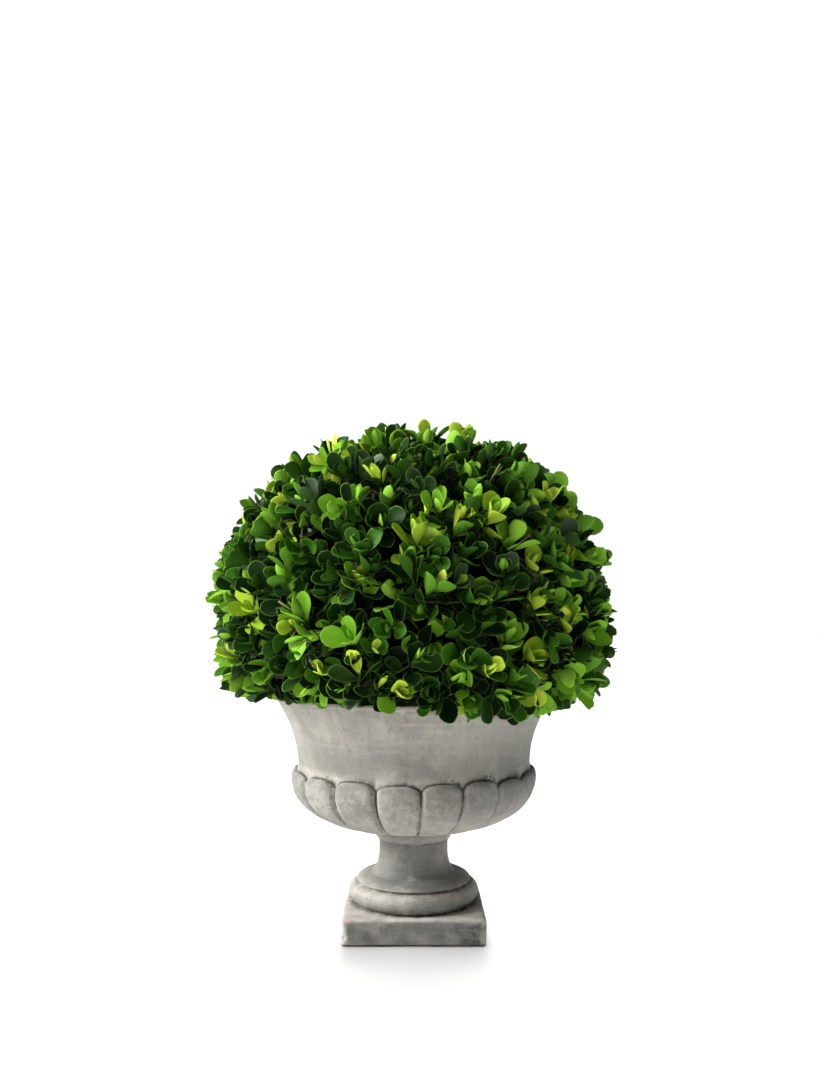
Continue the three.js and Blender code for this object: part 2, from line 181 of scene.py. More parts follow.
def add_sun(name, strength, softness, azimuth, elevation):
    """A soft far lamp: azimuth 0 shines from behind the camera, and -90 from the left."""
    lamp = bpy.data.lights.new(name, "SUN")
    lamp.energy = strength
    lamp.angle = math.radians(softness)
    sun = bpy.data.objects.new(name, lamp)
    a, e = math.radians(azimuth), math.radians(elevation)
    toward = Vector((math.sin(a) * math.cos(e), -math.cos(a) * math.cos(e), math.sin(e)))
    sun.rotation_mode = "QUATERNION"
    sun.rotation_quaternion = toward.to_track_quat("Z", "Y")
    scene.collection.objects.link(sun)
    return sun


def collection_of(name, piece):
    """A collection of one piece, which is how a lamp is told what to light or to be shaded by."""
    chosen = bpy.data.collections.new(name)
    chosen.objects.link(piece)
    return chosen


def light_all_but(lamp, piece):
    chosen = collection_of(lamp.name + "_skips", piece)
    chosen.collection_objects[0].light_linking.link_state = "EXCLUDE"
    lamp.light_linking.receiver_collection = chosen


def light_only(lamp, piece):
    lamp.light_linking.receiver_collection = collection_of(lamp.name + "_lights", piece)


def shade_only_from(lamp, piece):
    lamp.light_linking.blocker_collection = collection_of(lamp.name + "_shades", piece)


# %% The room


def light_room():
    """The world: bright on one side and dim on the other."""
    world = bpy.data.worlds.new("studio")
    scene.world = world
    world.use_nodes = True
    tree = world.node_tree
    place = tree.nodes.new("ShaderNodeTexCoord")
    along = tree.nodes.new("ShaderNodeVectorMath")
    along.operation = "DOT_PRODUCT"
    along.inputs[1].default_value = Vector(BRIGHT_SIDE).normalized()
    shade = tree.nodes.new("ShaderNodeMapRange")
    shade.interpolation_type = "SMOOTHSTEP"
    sockets = ("From Min", "From Max", "To Min", "To Max")
    for socket, value in zip(sockets, (*ROOM_TURN, ROOM_DIM, ROOM_BRIGHT)):
        shade.inputs[socket].default_value = value
    tree.links.new(place.outputs["Generated"], along.inputs[0])
    tree.links.new(along.outputs["Value"], shade.inputs["Value"])
    tree.links.new(shade.outputs[0], tree.nodes["Background"].inputs["Strength"])
    tree.nodes["Background"].inputs["Color"].default_value = (1, 1, 1, 1)


light_all_but(add_sun("key", *KEY), floor)
light_all_but(add_sun("fill", *FILL), floor)
floor_lamps = [add_sun(f"over_floor_{lamp[-1]}", *lamp) for lamp in OVER_FLOOR]
for lamp in floor_lamps:
    light_only(lamp, floor)
light_room()
print(2 + len(floor_lamps), "lamps,", len(floor_lamps), "of them for the floor alone")

# %% [markdown]
# ## Finishes by layers
#
# A patterned finish is built from a few layers, as a painter builds one: a pattern gives a share
# from 0 to 1, and the share lays one colour over another. Each layer is a Mix node for its colour,
# and sometimes a second for its roughness, fed by the product of its patterns, so the finish can be
# read from the first coat to the last. Patterns are measured in metres on the piece itself, so a
# scale of 100 repeats about every centimetre, and they can also follow values stored on the mesh.

# %% Finishes by layers


class Layers:
    """A patterned material, built up one layer at a time."""

    def __init__(self, name, colour, roughness, shine=0.3):
        self.material = plain_finish(name, colour, Specular_IOR_Level=shine)
        self.tree = self.material.node_tree
        self.shader = self.tree.nodes["Principled BSDF"]
        self.colour = colour
        self.rough = roughness
        self.height = None
        self.place = self.node("ShaderNodeTexCoord").outputs["Object"]

    def node(self, kind, **sockets):
        made = self.tree.nodes.new(kind)
        for name, value in sockets.items():
            self.set(made.inputs[name.replace("_", " ")], value)
        return made

    def set(self, socket, value):
        if isinstance(value, bpy.types.NodeSocket):
            self.tree.links.new(value, socket)
        elif isinstance(value, tuple) and socket.type == "RGBA" and len(value) == 3:
            socket.default_value = (*value, 1)
        else:
            socket.default_value = value

    def stretched(self, x, y, z):
        made = self.node("ShaderNodeMapping", Vector=self.place)
        made.inputs["Scale"].default_value = (x, y, z)
        return made.outputs[0]

    def attribute(self, name, output="Fac"):
        made = self.node("ShaderNodeAttribute")
        made.attribute_name = name
        return made.outputs[output]

    def noise(self, scale, detail=4, roughness=0.55, place=None, twist=0.0):
        made = self.node(
            "ShaderNodeTexNoise", Vector=place or self.place, Scale=scale, Detail=detail,
            Roughness=roughness, Distortion=twist,
        )
        return made.outputs["Fac"]

    def cells(self, scale):
        return self.node("ShaderNodeTexVoronoi", Vector=self.place, Scale=scale).outputs["Distance"]

    def share(self, value, low, high):
        """0 below low and 1 above high, or the other way round where low is the larger."""
        made = self.node("ShaderNodeMapRange", Value=value, From_Min=low, From_Max=high)
        made.interpolation_type = "SMOOTHSTEP"
        return made.outputs[0]

    def maths(self, how, first, second):
        made = self.node("ShaderNodeMath")
        made.operation = how
        self.set(made.inputs[0], first)
        self.set(made.inputs[1], second)
        return made.outputs[0]

    def times(self, first, *others):
        for other in others:
            first = self.maths("MULTIPLY", first, other)
        return first

    def lay(self, colour, *shares, roughness=None):
        """Lays a colour over what is there, by the product of its shares."""
        # a Mix node has sockets for each kind of value: 6 and 7 take colours, and 2 and 3 numbers
        share = self.times(*shares)
        made = self.node("ShaderNodeMix")
        made.data_type = "RGBA"
        self.set(made.inputs["Factor"], share)
        self.set(made.inputs[6], self.colour)
        self.set(made.inputs[7], colour)
        self.colour = made.outputs[2]
        if roughness is not None:
            mixed = self.node("ShaderNodeMix")
            self.set(mixed.inputs["Factor"], share)
            self.set(mixed.inputs[2], self.rough)
            self.set(mixed.inputs[3], roughness)
            self.rough = mixed.outputs[0]

    def raise_by(self, value, amount):
        """Adds relief, in metres."""
        lift = self.times(value, amount)
        self.height = lift if self.height is None else self.maths("ADD", self.height, lift)

    def done(self):
        self.set(self.shader.inputs["Base Color"], self.colour)
        self.set(self.shader.inputs["Roughness"], self.rough)
        if self.height is not None:
            bump = self.node("ShaderNodeBump", Height=self.height, Distance=1.0)
            self.set(self.shader.inputs["Normal"], bump.outputs[0])
        return self.material


print("Layers can make", [name for name in vars(Layers) if not name.startswith("_")])

# %% [markdown]
# ## A grey wash on terracotta
#
# The urn is terracotta under a lime wash that was brushed on, rubbed back and left to gather dirt.
# A painted picture of that would need unwrapping, and would repeat: here every coat is a pattern of
# its own instead. Brush strokes follow two stored directions, rings round the urn and sweeps up it.
# Dirt, slate and wear follow stored values too, so they lie in the seams, in the joints and on the
# edges, where hands and weather put them. The same values also carry painted shade: on the side
# away from the key lamp, under the collar, on the rim and low on the wall.

# %% A grey wash on terracotta
WASH = (0.38, 0.355, 0.312)
THIN_WASH = (0.235, 0.231, 0.214)
CLAY_SHOWING = (0.33, 0.268, 0.214)
BARE_CLAY = (0.50, 0.32, 0.225)
CHALK = (0.45, 0.43, 0.385)
DULL_CHALK = (0.43, 0.41, 0.37)
PALE_GRAIN = (0.45, 0.43, 0.39)
SCUFFED = (0.44, 0.415, 0.37)
RUBBED = (0.50, 0.475, 0.43)
DARK_SWEEPS = (0.155, 0.147, 0.128)
DARK_GRAIN = (0.155, 0.147, 0.127)
MOTTLED = (0.165, 0.160, 0.141)
# settled grey, and painted shade under the wall's flare
SETTLED_AND_SHADE = (0.150, 0.146, 0.129)
# dark grey for the foot, and painted shade on the bowl's right side
SLATE_AND_SHADE = (0.123, 0.125, 0.118)
WORN_SLATE = (0.25, 0.245, 0.226)
# dark for dirt, and for the painted shade that the same mask lays
DIRT_AND_SHADE = (0.052, 0.048, 0.038)
SEAM_DIRT = (0.045, 0.042, 0.034)
CRUMBS = (0.034, 0.031, 0.024)
SPECKS = (0.50, 0.46, 0.40)
PITS = (0.10, 0.092, 0.073)


def lay_strokes(wash):
    """The coats themselves: clouds of thin wash, brush strokes and grain."""
    rings, sweeps = wash.attribute("rings", "Vector"), wash.attribute("sweeps", "Vector")
    ring_strokes = wash.noise(1.0, detail=6, roughness=0.62, place=rings)
    sweep_strokes = wash.noise(1.0, detail=6, roughness=0.6, place=sweeps)
    fine_sweeps = wash.noise(3.1, detail=4, roughness=0.6, place=sweeps)
    clouds = wash.noise(24, detail=6, roughness=0.62, twist=0.8)
    patches = wash.noise(55, detail=6, roughness=0.66, twist=0.4)
    grain = wash.noise(900, detail=3, roughness=0.7)
    wash.lay(THIN_WASH, wash.share(clouds, 0.48, 0.66), 0.7)
    wash.lay(CLAY_SHOWING, wash.share(patches, 0.54, 0.68), 0.5)
    wash.lay(CHALK, wash.share(ring_strokes, 0.50, 0.66), 0.50)
    wash.lay(DULL_CHALK, wash.share(sweep_strokes, 0.50, 0.66), 0.46)
    wash.lay(DARK_SWEEPS, wash.share(fine_sweeps, 0.54, 0.72), 0.40)
    wash.lay(PALE_GRAIN, wash.share(grain, 0.56, 0.70), 0.28)
    wash.lay(DARK_GRAIN, wash.share(grain, 0.44, 0.32), 0.28)
    wash.raise_by(fine_sweeps, 0.0005)
    wash.raise_by(ring_strokes, 0.0005)
    wash.raise_by(grain, 0.00014)
    wash.raise_by(patches, 0.0012)
    return clouds, patches, ring_strokes


# %% Weather, dirt and painted shade over the wash


def lay_weather(wash, clouds, patches, ring_strokes):
    """What years outdoors leave: mottles, settled grey, slate and rubbed edges, with painted shade among
    them.
    """
    mottled, slate = wash.attribute("mottled"), wash.attribute("slate")
    mottles = wash.noise(130, detail=7, roughness=0.72, twist=0.6)
    wash.lay(MOTTLED, mottled, wash.share(mottles, 0.61, 0.37), 0.75)
    wash.lay(SCUFFED, mottled, wash.share(mottles, 0.56, 0.68), 0.4)
    # settled grey and painted shade, low on the wall and high on the lobes
    wash.lay(SETTLED_AND_SHADE, wash.attribute("settled"), wash.share(clouds, 0.22, 0.52))
    # darker foot and torus, and painted shade on the bowl's right side
    wash.lay(SLATE_AND_SHADE, slate, wash.share(patches, 0.20, 0.48))
    wash.lay(WORN_SLATE, slate, wash.share(ring_strokes, 0.44, 0.68), 0.42)
    wash.lay(RUBBED, wash.attribute("worn"), wash.share(patches, 0.30, 0.56), 0.66)
    wash.raise_by(mottles, 0.0007)


def lay_dirt(wash):
    """Dirt and painted shade along the lobes' edges and in the joints: smears, crumbs, a broken line."""
    grime, lobe_edge = wash.attribute("grime"), wash.attribute("lobe_edge")
    breaks = wash.noise(95, detail=6, roughness=0.68)
    edge = wash.maths("ADD", lobe_edge, wash.times(breaks, 0.07))
    gaps = wash.share(wash.noise(42, detail=3), 0.28, 0.50)
    # the mask holds dirt and painted shade alike
    wash.lay(DIRT_AND_SHADE, grime, wash.share(breaks, 0.38, 0.57), 0.9, roughness=0.95)
    clods = wash.share(wash.noise(300, detail=3), 0.55, 0.61)
    wash.lay(CRUMBS, grime, clods, wash.share(lobe_edge, 1.95, 1.7), 0.8, roughness=0.95)
    seam = wash.times(wash.share(edge, 0.965, 1.015), wash.share(edge, 1.10, 1.05), gaps)
    wash.lay(SEAM_DIRT, seam, 0.85, roughness=0.95)


# %% Chips, specks and pits


def lay_marks(wash):
    """Chips down to the clay, pale specks of lime and dark pits."""
    chips = wash.share(wash.noise(330, detail=4), 0.36, 0.46)
    wash.lay(BARE_CLAY, wash.attribute("chipped"), chips, 0.85)
    wash.lay(SPECKS, wash.share(wash.cells(230), 0.17, 0.08), wash.share(wash.noise(60), 0.56, 0.66), 0.5)
    where = wash.share(wash.noise(45, detail=2), 0.50, 0.62)
    pits = wash.times(wash.share(wash.cells(300), 0.17, 0.07), where)
    wash.lay(PITS, pits, 0.75)
    wash.raise_by(pits, -0.0005)


def washed_terracotta():
    wash = Layers("washed_terracotta", WASH, 0.82)
    clouds, patches, ring_strokes = lay_strokes(wash)
    lay_weather(wash, clouds, patches, ring_strokes)
    lay_dirt(wash)
    lay_marks(wash)
    return wash.done()


URN_FINISH = washed_terracotta()
print("urn finish", len(URN_FINISH.node_tree.nodes), "nodes")

# %% [markdown]
# ## Sizes of the urn
#
# The real urn is thrown or jiggered in one piece of terracotta, and its shape is a short list of
# radii and heights, read here from the plinth upward. The raised lobes round the bowl are called
# gadroons. Everything else on the urn is worked out from these values.

# %% Sizes of the urn
PLINTH_WIDTH = 110
PLINTH_HEIGHT = 20
PLINTH_ROUND = (3.6, 3.6, 1.8)  # how far its edges are worn, across and down
TORUS_RADIUS = 52.5
TORUS_TOP = 35.5
SHOULDER_RADIUS = 46.5
FLARE_RADIUS = 34
FLARE_HEIGHT = 42.5
WAIST_RADIUS = 28.2
WAIST_HEIGHT = 60
COLLAR_RADIUS = 30.8
COLLAR_HEIGHT = 69
BOWL_BOTTOM = 79
NECK_RADIUS = 27
GADROONS = 18
GADROON_DEPTH = 5.2
GADROON_FULL = 75  # radius from which they have their full depth
GADROON_SHOULDER = 119
GADROON_TOP = 127.5
GADROON_POWER = 2.7  # 2 is a round lobe; more makes it flatter, with tighter shoulders
SEAM_ANGLE = math.radians(1.2)
SEAM_SWAY = math.radians(2.1)  # how far handwork lets the seams drift
SWAY_START = 0.26
BELLY_RADIUS = 95.3
BELLY_HEIGHT = 118
THROAT_RADIUS = 94.8
THROAT_HEIGHT = 131
RIM_RADIUS = 113.6
RIM_HEIGHT = 186
LIP = 5
WALL = 7
INSIDE_DEPTH = BELLY_HEIGHT - BOWL_BOTTOM - 2 * WALL  # of the round floor, below the belly
SUNK = 2  # how far the turned part goes down into the plinth
COLUMNS = 16 * GADROONS  # vertices round the urn
print("urn", RIM_HEIGHT, "mm high and", 2 * RIM_RADIUS, "mm across its rim")

# %% [markdown]
# ## Its outline
#
# A potter cuts a profile once and turns the clay against it. Straight, curved and rounded stretches
# are three small functions that give points, so that the outline reads as the pot does: foot, bowl,
# lip and inside. It starts and ends on the axis, which closes the turned shape at both ends.

# %% Its outline


def line(start, end, parts):
    """Points from start to end, both included."""
    return [
        (start[0] + (end[0] - start[0]) * i / parts, start[1] + (end[1] - start[1]) * i / parts)
        for i in range(parts + 1)
    ]


def bend(controls, parts):
    """A Bezier curve through its first and last control point, as points."""
    curve = []
    for i in range(parts + 1):
        points = [Vector(c) for c in controls]
        while len(points) > 1:
            points = [a.lerp(b, i / parts) for a, b in zip(points, points[1:])]
        curve.append(tuple(points[0]))
    return curve


def arc(centre, across, up, start, end, parts):
    """Part of an ellipse, with angles in turns of half a circle."""
    angles = [math.pi * (start + (end - start) * i / parts) for i in range(parts + 1)]
    return [(centre[0] + across * math.cos(a), centre[1] + up * math.sin(a)) for a in angles]


def inside_radius(height):
    """The inside of the wall, which opens late towards the rim."""
    share = max(0, height - THROAT_HEIGHT) / (RIM_HEIGHT - THROAT_HEIGHT)
    return THROAT_RADIUS - WALL + (RIM_RADIUS - THROAT_RADIUS) * share**2.4


# %% The foot's outline


def torus_outline():
    """Out under the torus, round it and into the groove above."""
    middle = (PLINTH_HEIGHT + TORUS_TOP) / 2
    swell = TORUS_RADIUS - SHOULDER_RADIUS + 1
    points = line((0, PLINTH_HEIGHT - SUNK), (TORUS_RADIUS - 4, PLINTH_HEIGHT - SUNK), 8)
    points += arc((TORUS_RADIUS - swell, middle), swell, TORUS_TOP - middle, -0.40, 0.49, 16)
    return points + [
        (SHOULDER_RADIUS - 1.3, TORUS_TOP + 0.1),
        (SHOULDER_RADIUS - 1.6, TORUS_TOP + 0.8),
    ]


def waist_outline():
    """In over the shoulder, up the waist and out round the collar."""
    shoulder = [
        (SHOULDER_RADIUS, TORUS_TOP + 1.4),
        (SHOULDER_RADIUS + 0.2, FLARE_HEIGHT - 4),
        (SHOULDER_RADIUS - 5, FLARE_HEIGHT - 0.5),
        (FLARE_RADIUS, FLARE_HEIGHT),
    ]
    flare = [
        (FLARE_RADIUS, FLARE_HEIGHT),
        (WAIST_RADIUS, WAIST_HEIGHT - 12),
        (WAIST_RADIUS, WAIST_HEIGHT),
    ]
    collar = [
        (WAIST_RADIUS + 0.2, COLLAR_HEIGHT),
        (COLLAR_RADIUS + 0.8, COLLAR_HEIGHT + 0.2),
        (COLLAR_RADIUS + 0.4, COLLAR_HEIGHT + 5),
        (COLLAR_RADIUS - 0.6, BOWL_BOTTOM + 0.6),
    ]
    waist = line((WAIST_RADIUS, WAIST_HEIGHT + 2), (WAIST_RADIUS, COLLAR_HEIGHT - 0.6), 4)
    points = bend(shoulder, 10) + bend(flare, 10)[1:] + waist + bend(collar, 8)
    return points + [(COLLAR_RADIUS - 2.2, BOWL_BOTTOM + 1.6)]


foot_outline = torus_outline() + waist_outline()
print("foot", len(foot_outline), "points")

# %% The bowl's outline


def bowl_outline():
    """Out round the bowl and up the flared wall to the lip."""
    lip_foot = RIM_HEIGHT - LIP
    wall_rise = lip_foot - THROAT_HEIGHT
    across, up = BELLY_RADIUS - NECK_RADIUS, BELLY_HEIGHT - BOWL_BOTTOM
    belly = arc((NECK_RADIUS, BELLY_HEIGHT), across, up, -0.5, 0, 56)
    points = [p for p in belly if p[0] > COLLAR_RADIUS - 0.5 and p[1] > BOWL_BOTTOM + 0.2]
    points += line((BELLY_RADIUS, BELLY_HEIGHT + 1), (THROAT_RADIUS, THROAT_HEIGHT - 1), 18)
    flare = [
        (THROAT_RADIUS, THROAT_HEIGHT),
        (THROAT_RADIUS + 1, THROAT_HEIGHT + 0.45 * wall_rise),
        (RIM_RADIUS - 8, lip_foot - 0.2 * wall_rise),
        (RIM_RADIUS - 2.2, lip_foot),
    ]
    return points + bend(flare, 26)


def lip_outline():
    """Round the lip, with softened corners, and in over the rim."""
    lip_foot = RIM_HEIGHT - LIP
    points = [(RIM_RADIUS - 1.0, lip_foot + 0.3), (RIM_RADIUS - 0.3, lip_foot + 1)]
    points += line((RIM_RADIUS, lip_foot + 2), (RIM_RADIUS, RIM_HEIGHT - 1.6), 2)
    points += [(RIM_RADIUS - 0.5, RIM_HEIGHT - 0.5), (RIM_RADIUS - 1.6, RIM_HEIGHT)]
    return points + line((RIM_RADIUS - 3, RIM_HEIGHT), (inside_radius(RIM_HEIGHT) + 1.5, RIM_HEIGHT), 1)


def inside_outline():
    """Down the inside of the wall and round its floor to the axis."""
    heights = np.linspace(RIM_HEIGHT - 1.2, BELLY_HEIGHT, 22)
    points = [(inside_radius(height), height) for height in heights]
    points += arc((0, BELLY_HEIGHT), inside_radius(BELLY_HEIGHT), INSIDE_DEPTH, 0, -0.5, 20)[1:-1]
    return points + [(0, BELLY_HEIGHT - INSIDE_DEPTH)]


URN_OUTLINE = foot_outline + bowl_outline() + lip_outline() + inside_outline()
print("whole outline", len(URN_OUTLINE), "points")

# %% [markdown]
# ## Turning, and working on arrays
#
# Spin turns an outline into a pot as a wheel does, and its last column has to be merged with the
# first. After that the shape is only moved, never rebuilt, so all its vertices can be handled at
# once as an array: read the places, work out a move for each, and write them back. A value can be
# stored on the mesh for each vertex in the same way, and a finish can read it.

# %% Turning, and working on arrays


def spin(profile, columns, start=0.0):
    """A profile of (radius, height) points turned once round the Z axis."""
    bm = bmesh.new()
    turn = Matrix.Rotation(start, 3, "Z")
    verts = [bm.verts.new(turn @ Vector((r, 0, z))) for r, z in profile]
    edges = [bm.edges.new(pair) for pair in zip(verts, verts[1:])]
    bmesh.ops.spin(
        bm, geom=verts + edges, cent=(0, 0, 0), axis=(0, 0, 1), angle=2 * math.pi,
        steps=columns, use_merge=True,
    )
    bmesh.ops.remove_doubles(bm, verts=bm.verts, dist=1e-4)
    bmesh.ops.recalc_face_normals(bm, faces=bm.faces)
    return bm


def places(piece):
    """The piece's vertices in millimetres, as an array."""
    flat = np.empty(3 * len(piece.data.vertices), np.float32)
    piece.data.vertices.foreach_get("co", flat)
    return flat.reshape(-1, 3).astype(float) / MM


def put_back(piece, points):
    piece.data.vertices.foreach_set("co", (points * MM).astype(np.float32).ravel())


def mark(piece, **values):
    """Stores values by name: one for each vertex, or a single number for all."""
    for name, value in values.items():
        layer = piece.data.attributes.new(name, "FLOAT", "POINT")
        layer.data.foreach_set("value", np.full(len(layer.data), value, np.float32))


def mark_ways(piece, **values):
    """Stores a vector for each vertex, by name."""
    for name, value in values.items():
        layer = piece.data.attributes.new(name, "FLOAT_VECTOR", "POINT")
        layer.data.foreach_set("vector", np.asarray(value, np.float32).ravel())


# %% Shares, humps and bumps


def rise(value, low, high):
    """Smoothly from 0 at low to 1 at high, for numbers and arrays."""
    t = np.clip((np.asarray(value, float) - low) / (high - low), 0, 1)
    return t * t * (3 - 2 * t)


def hump(value, middle, spread):
    """1 at the middle, falling smoothly to almost nothing at twice the spread from it."""
    return np.exp(-(((value - middle) / spread) ** 2))


def uneven(points, size, amount, seed):
    """A smooth random height at each point: size is the width of the bumps, in millimetres."""
    shift = Vector((seed * 7.3, seed * 3.1, seed * 1.7))
    return np.array([amount * noise.noise(Vector(p) / size + shift) for p in points])


print("a hump falls to", round(float(hump(2, 0, 1)), 3), "at twice its spread")

# %% [markdown]
# ## Where each point of the urn lies
#
# The lobes are shaped by hand after the turning. To shape and to dirty them, each vertex has to
# know which lobe it is on and how near that lobe's edge: 0 in its middle and 1 on its seam. A lobe
# is a rounded square in these terms, which a power between 2 and 3 draws well. Each lobe has its own
# depth and height, so that no two are quite alike.

# %% Where each point of the urn lies


def lobe_place(points):
    """Which gadroon each vertex is on, and how far across it, from -1 to 1."""
    angle = np.arctan2(points[:, 1], points[:, 0])
    from_seam = (angle + math.pi / 2 - SEAM_ANGLE) / (2 * math.pi / GADROONS) + 1e-6
    lobe = np.floor(from_seam).astype(int) % GADROONS
    return lobe, 2 * (from_seam - np.floor(from_seam)) - 1


class UrnPlaces:
    """For each vertex: its height, radius and direction, and its place on the bowl's lobes."""

    def __init__(self, points):
        self.height = points[:, 2].copy()
        self.radius = np.hypot(points[:, 0], points[:, 1])
        self.out = points[:, :2] / np.maximum(self.radius, 1e-6)[:, None]
        self.right = self.out[:, 0]  # 1 on the side away from the key lamp, and -1 beside it
        self.on_wall = rise(self.height, THROAT_HEIGHT - 3, THROAT_HEIGHT + 3)
        self.outside = self.radius > self.inner_radius() + 1
        over_neck = (self.radius > COLLAR_RADIUS) & (self.height > BOWL_BOTTOM)
        self.on_bowl = self.outside & over_neck & (self.height < THROAT_HEIGHT + 6)
        self.lobe, self.across = lobe_place(points)
        self.vary_lobes()

    def inner_radius(self):
        inner = np.array([inside_radius(h) for h in self.height])
        below = (BELLY_HEIGHT - self.height) / INSIDE_DEPTH
        narrowing = np.sqrt(np.clip(1 - below**2, 0, 1))
        return np.where(self.height < BELLY_HEIGHT, inner * narrowing, inner)

    def vary_lobes(self):
        varied = np.random.default_rng(7)
        depth = GADROON_DEPTH * (1 + 0.10 * varied.uniform(-1, 1, GADROONS))
        top = GADROON_TOP + 1.3 * varied.uniform(-1, 0.7, GADROONS)
        over = np.maximum(0, self.height - GADROON_SHOULDER) / (top[self.lobe] - GADROON_SHOULDER)
        power = GADROON_POWER
        self.edge = (np.abs(self.across) ** power + over**power) ** (1 / power)
        swell = np.clip(1 - np.minimum(self.edge, 1) ** power, 0, 1) ** (1 / power)
        self.push = depth[self.lobe] * np.minimum(1, self.radius / GADROON_FULL) * swell
        self.push = np.where(self.on_bowl, self.push, 0)


# %% Shaping the turned urn


def handwork(points, at):
    """How far each vertex moves out: the lobes, and what keeps hand work from looking machined."""
    wander = uneven(points, 34, 0.7, 1) + uneven(points, 9, 0.2, 2)
    ridges = 0.07 * np.sin(at.height * 2.1 + 3 * uneven(points, 50, 1, 3)) * at.on_wall
    near_edge = np.where(at.on_bowl, rise(at.edge, 0.7, 1.0) * (1 - rise(at.edge, 1.0, 1.5)), 0)
    lumps = near_edge * (uneven(points, 3.2, 0.7, 9) - 0.35 * (np.abs(at.edge - 1) < 0.09))
    in_joints = hump(at.height, PLINTH_HEIGHT + 1.5, 2) + hump(at.height, COLLAR_HEIGHT, 1.5)
    crust = in_joints * uneven(points, 4, 1.3, 16)
    free = rise(at.height, PLINTH_HEIGHT, PLINTH_HEIGHT + 4)
    on_lip = rise(at.height, RIM_HEIGHT - LIP - 1, RIM_HEIGHT - LIP + 1)
    move = at.push + free * (wander + ridges + lumps + crust) + on_lip * uneven(points, 5, 0.5, 4)
    return np.where(at.outside & (at.radius > 1), move, 0)


def sway_seams(points, out):
    """Turns each vertex a little about the axis, so that the seams drift round the bowl."""
    sway = SEAM_SWAY * np.cos(2 * (np.arctan2(out[:, 0], -out[:, 1]) + SWAY_START))
    x, y = points[:, 0].copy(), points[:, 1].copy()
    points[:, 0] = x * np.cos(sway) - y * np.sin(sway)
    points[:, 1] = x * np.sin(sway) + y * np.cos(sway)


def turned_urn():
    urn = mesh_object("urn_turned", spin(URN_OUTLINE, COLUMNS, SEAM_ANGLE - math.pi / 2), [URN_FINISH])
    points = places(urn)
    at = UrnPlaces(points)
    points[:, :2] += at.out * handwork(points, at)[:, None]
    sway_seams(points, at.out)
    put_back(urn, points)
    return urn, points, at


turned, turned_points, turned_at = turned_urn()
print("lobes stand out up to", round(turned_at.push.max(), 1), "mm")

# %% [markdown]
# ## Wear, dirt and painted shade on the urn
#
# Each kind of wear is a value on the mesh, 0 for none and 1 or more for all, and the finish breaks
# it up with its own patterns. Dirt and painted shade lie along the lobes' edges and in the joints.
# Painted shade also darkens the right of each lobe and the side away from the key lamp, the rim
# under the leaves, lines under the collar and the lip, the bowl's right side, and the lower wall and
# upper lobes. The foot is darker, most of all toward the front, and the wash is chalky on what hands
# touch. Painting by hand would do it too, but here each stain and shade is a formula of a few lines,
# which follows the urn if its sizes change.

# %% Wear, dirt and painted shade on the urn
# (strength, height, spread) of the rings of dirt in the joints; the last is a painted shadow line at the
# lip's foot
JOINT_DIRT_AND_SHADE = (
    (1, PLINTH_HEIGHT + 0.5, 3.8),
    (1, TORUS_TOP + 0.5, 1.0),
    (1, BOWL_BOTTOM + 2, 1.2),
    (0.6, RIM_HEIGHT - LIP, 1.2),
)
FAR = 2  # the lobe_edge of what is not near a lobe


def urn_grime(at):
    shaded_half = 0.55 + 0.45 * np.sin(math.pi / 2 * at.across)  # painted shade: the right of each lobe, away from the key lamp, is darker
    # dirt and painted shade along the lobes' edges
    edge_dirt_and_shade = 1.2 * rise(at.edge, 0.72, 0.98) * (1 - rise(at.edge, 1.02, 1.8)) * shaded_half
    grime = np.where(at.on_bowl, edge_dirt_and_shade, 0)
    for strength, place, spread in JOINT_DIRT_AND_SHADE:
        grime = np.maximum(grime, strength * hump(at.height, place, spread))
    # a painted shadow line under the collar, darker on the right
    under_collar = (0.6 + 0.25 * at.right) * hump(at.height, COLLAR_HEIGHT - 0.3, 1.1)
    # painted shade of the leaves on the rim's top
    on_rim = 0.45 * rise(at.height, RIM_HEIGHT - 1.2, RIM_HEIGHT - 0.2)
    # painted shade: darker on the side away from the key lamp
    return np.maximum.reduce([grime, under_collar, on_rim]) * (0.75 + 0.25 * at.right)


def urn_slate(at):
    """Where it is darker: the foot, most of all toward the front, and the torus; and as painted shade, the
    bowl's right side, away from the key lamp.
    """
    toward_front = 0.53 + 0.44 * np.maximum(0, -at.out[:, 1]) ** 2
    foot = toward_front * rise(at.height, FLARE_HEIGHT - 12, FLARE_HEIGHT)
    foot *= 1 - 0.36 * rise(at.height, FLARE_HEIGHT + 2, WAIST_HEIGHT)
    foot *= 1 - 0.6 * rise(at.height, COLLAR_HEIGHT - 0.5, COLLAR_HEIGHT + 1.5)
    foot *= 1 - rise(at.height, BOWL_BOTTOM + 1, BOWL_BOTTOM + 5)
    torus = 0.85 * hump(at.height, PLINTH_HEIGHT + 5.5, 6.5) * (0.7 + 0.1 * at.right)
    # painted shade on the bowl's right side, away from the key lamp
    shaded = 0.55 * rise(at.right, 0.1, 0.9) * rise(at.height, COLLAR_HEIGHT, BELLY_HEIGHT)
    return np.maximum.reduce([foot, torus, shaded])


def urn_worn(at):
    """Where it is rubbed to chalk: the torus's top, the collar, the lip and the lobes' edges."""
    torus = 0.06 * hump(at.height, TORUS_TOP - 4, 3.2) * (at.radius > TORUS_RADIUS - 4)
    collar = 0.7 * hump(at.height, COLLAR_HEIGHT + 3, 2.5) * (at.radius < COLLAR_RADIUS + 3.2)
    lip = 0.6 * rise(at.height, RIM_HEIGHT - LIP, RIM_HEIGHT - LIP + 2)
    lobes = np.where(at.on_bowl, 0.6 * hump(at.edge, 0.88, 0.05), 0)
    return np.maximum.reduce([torus, collar, lip, lobes])


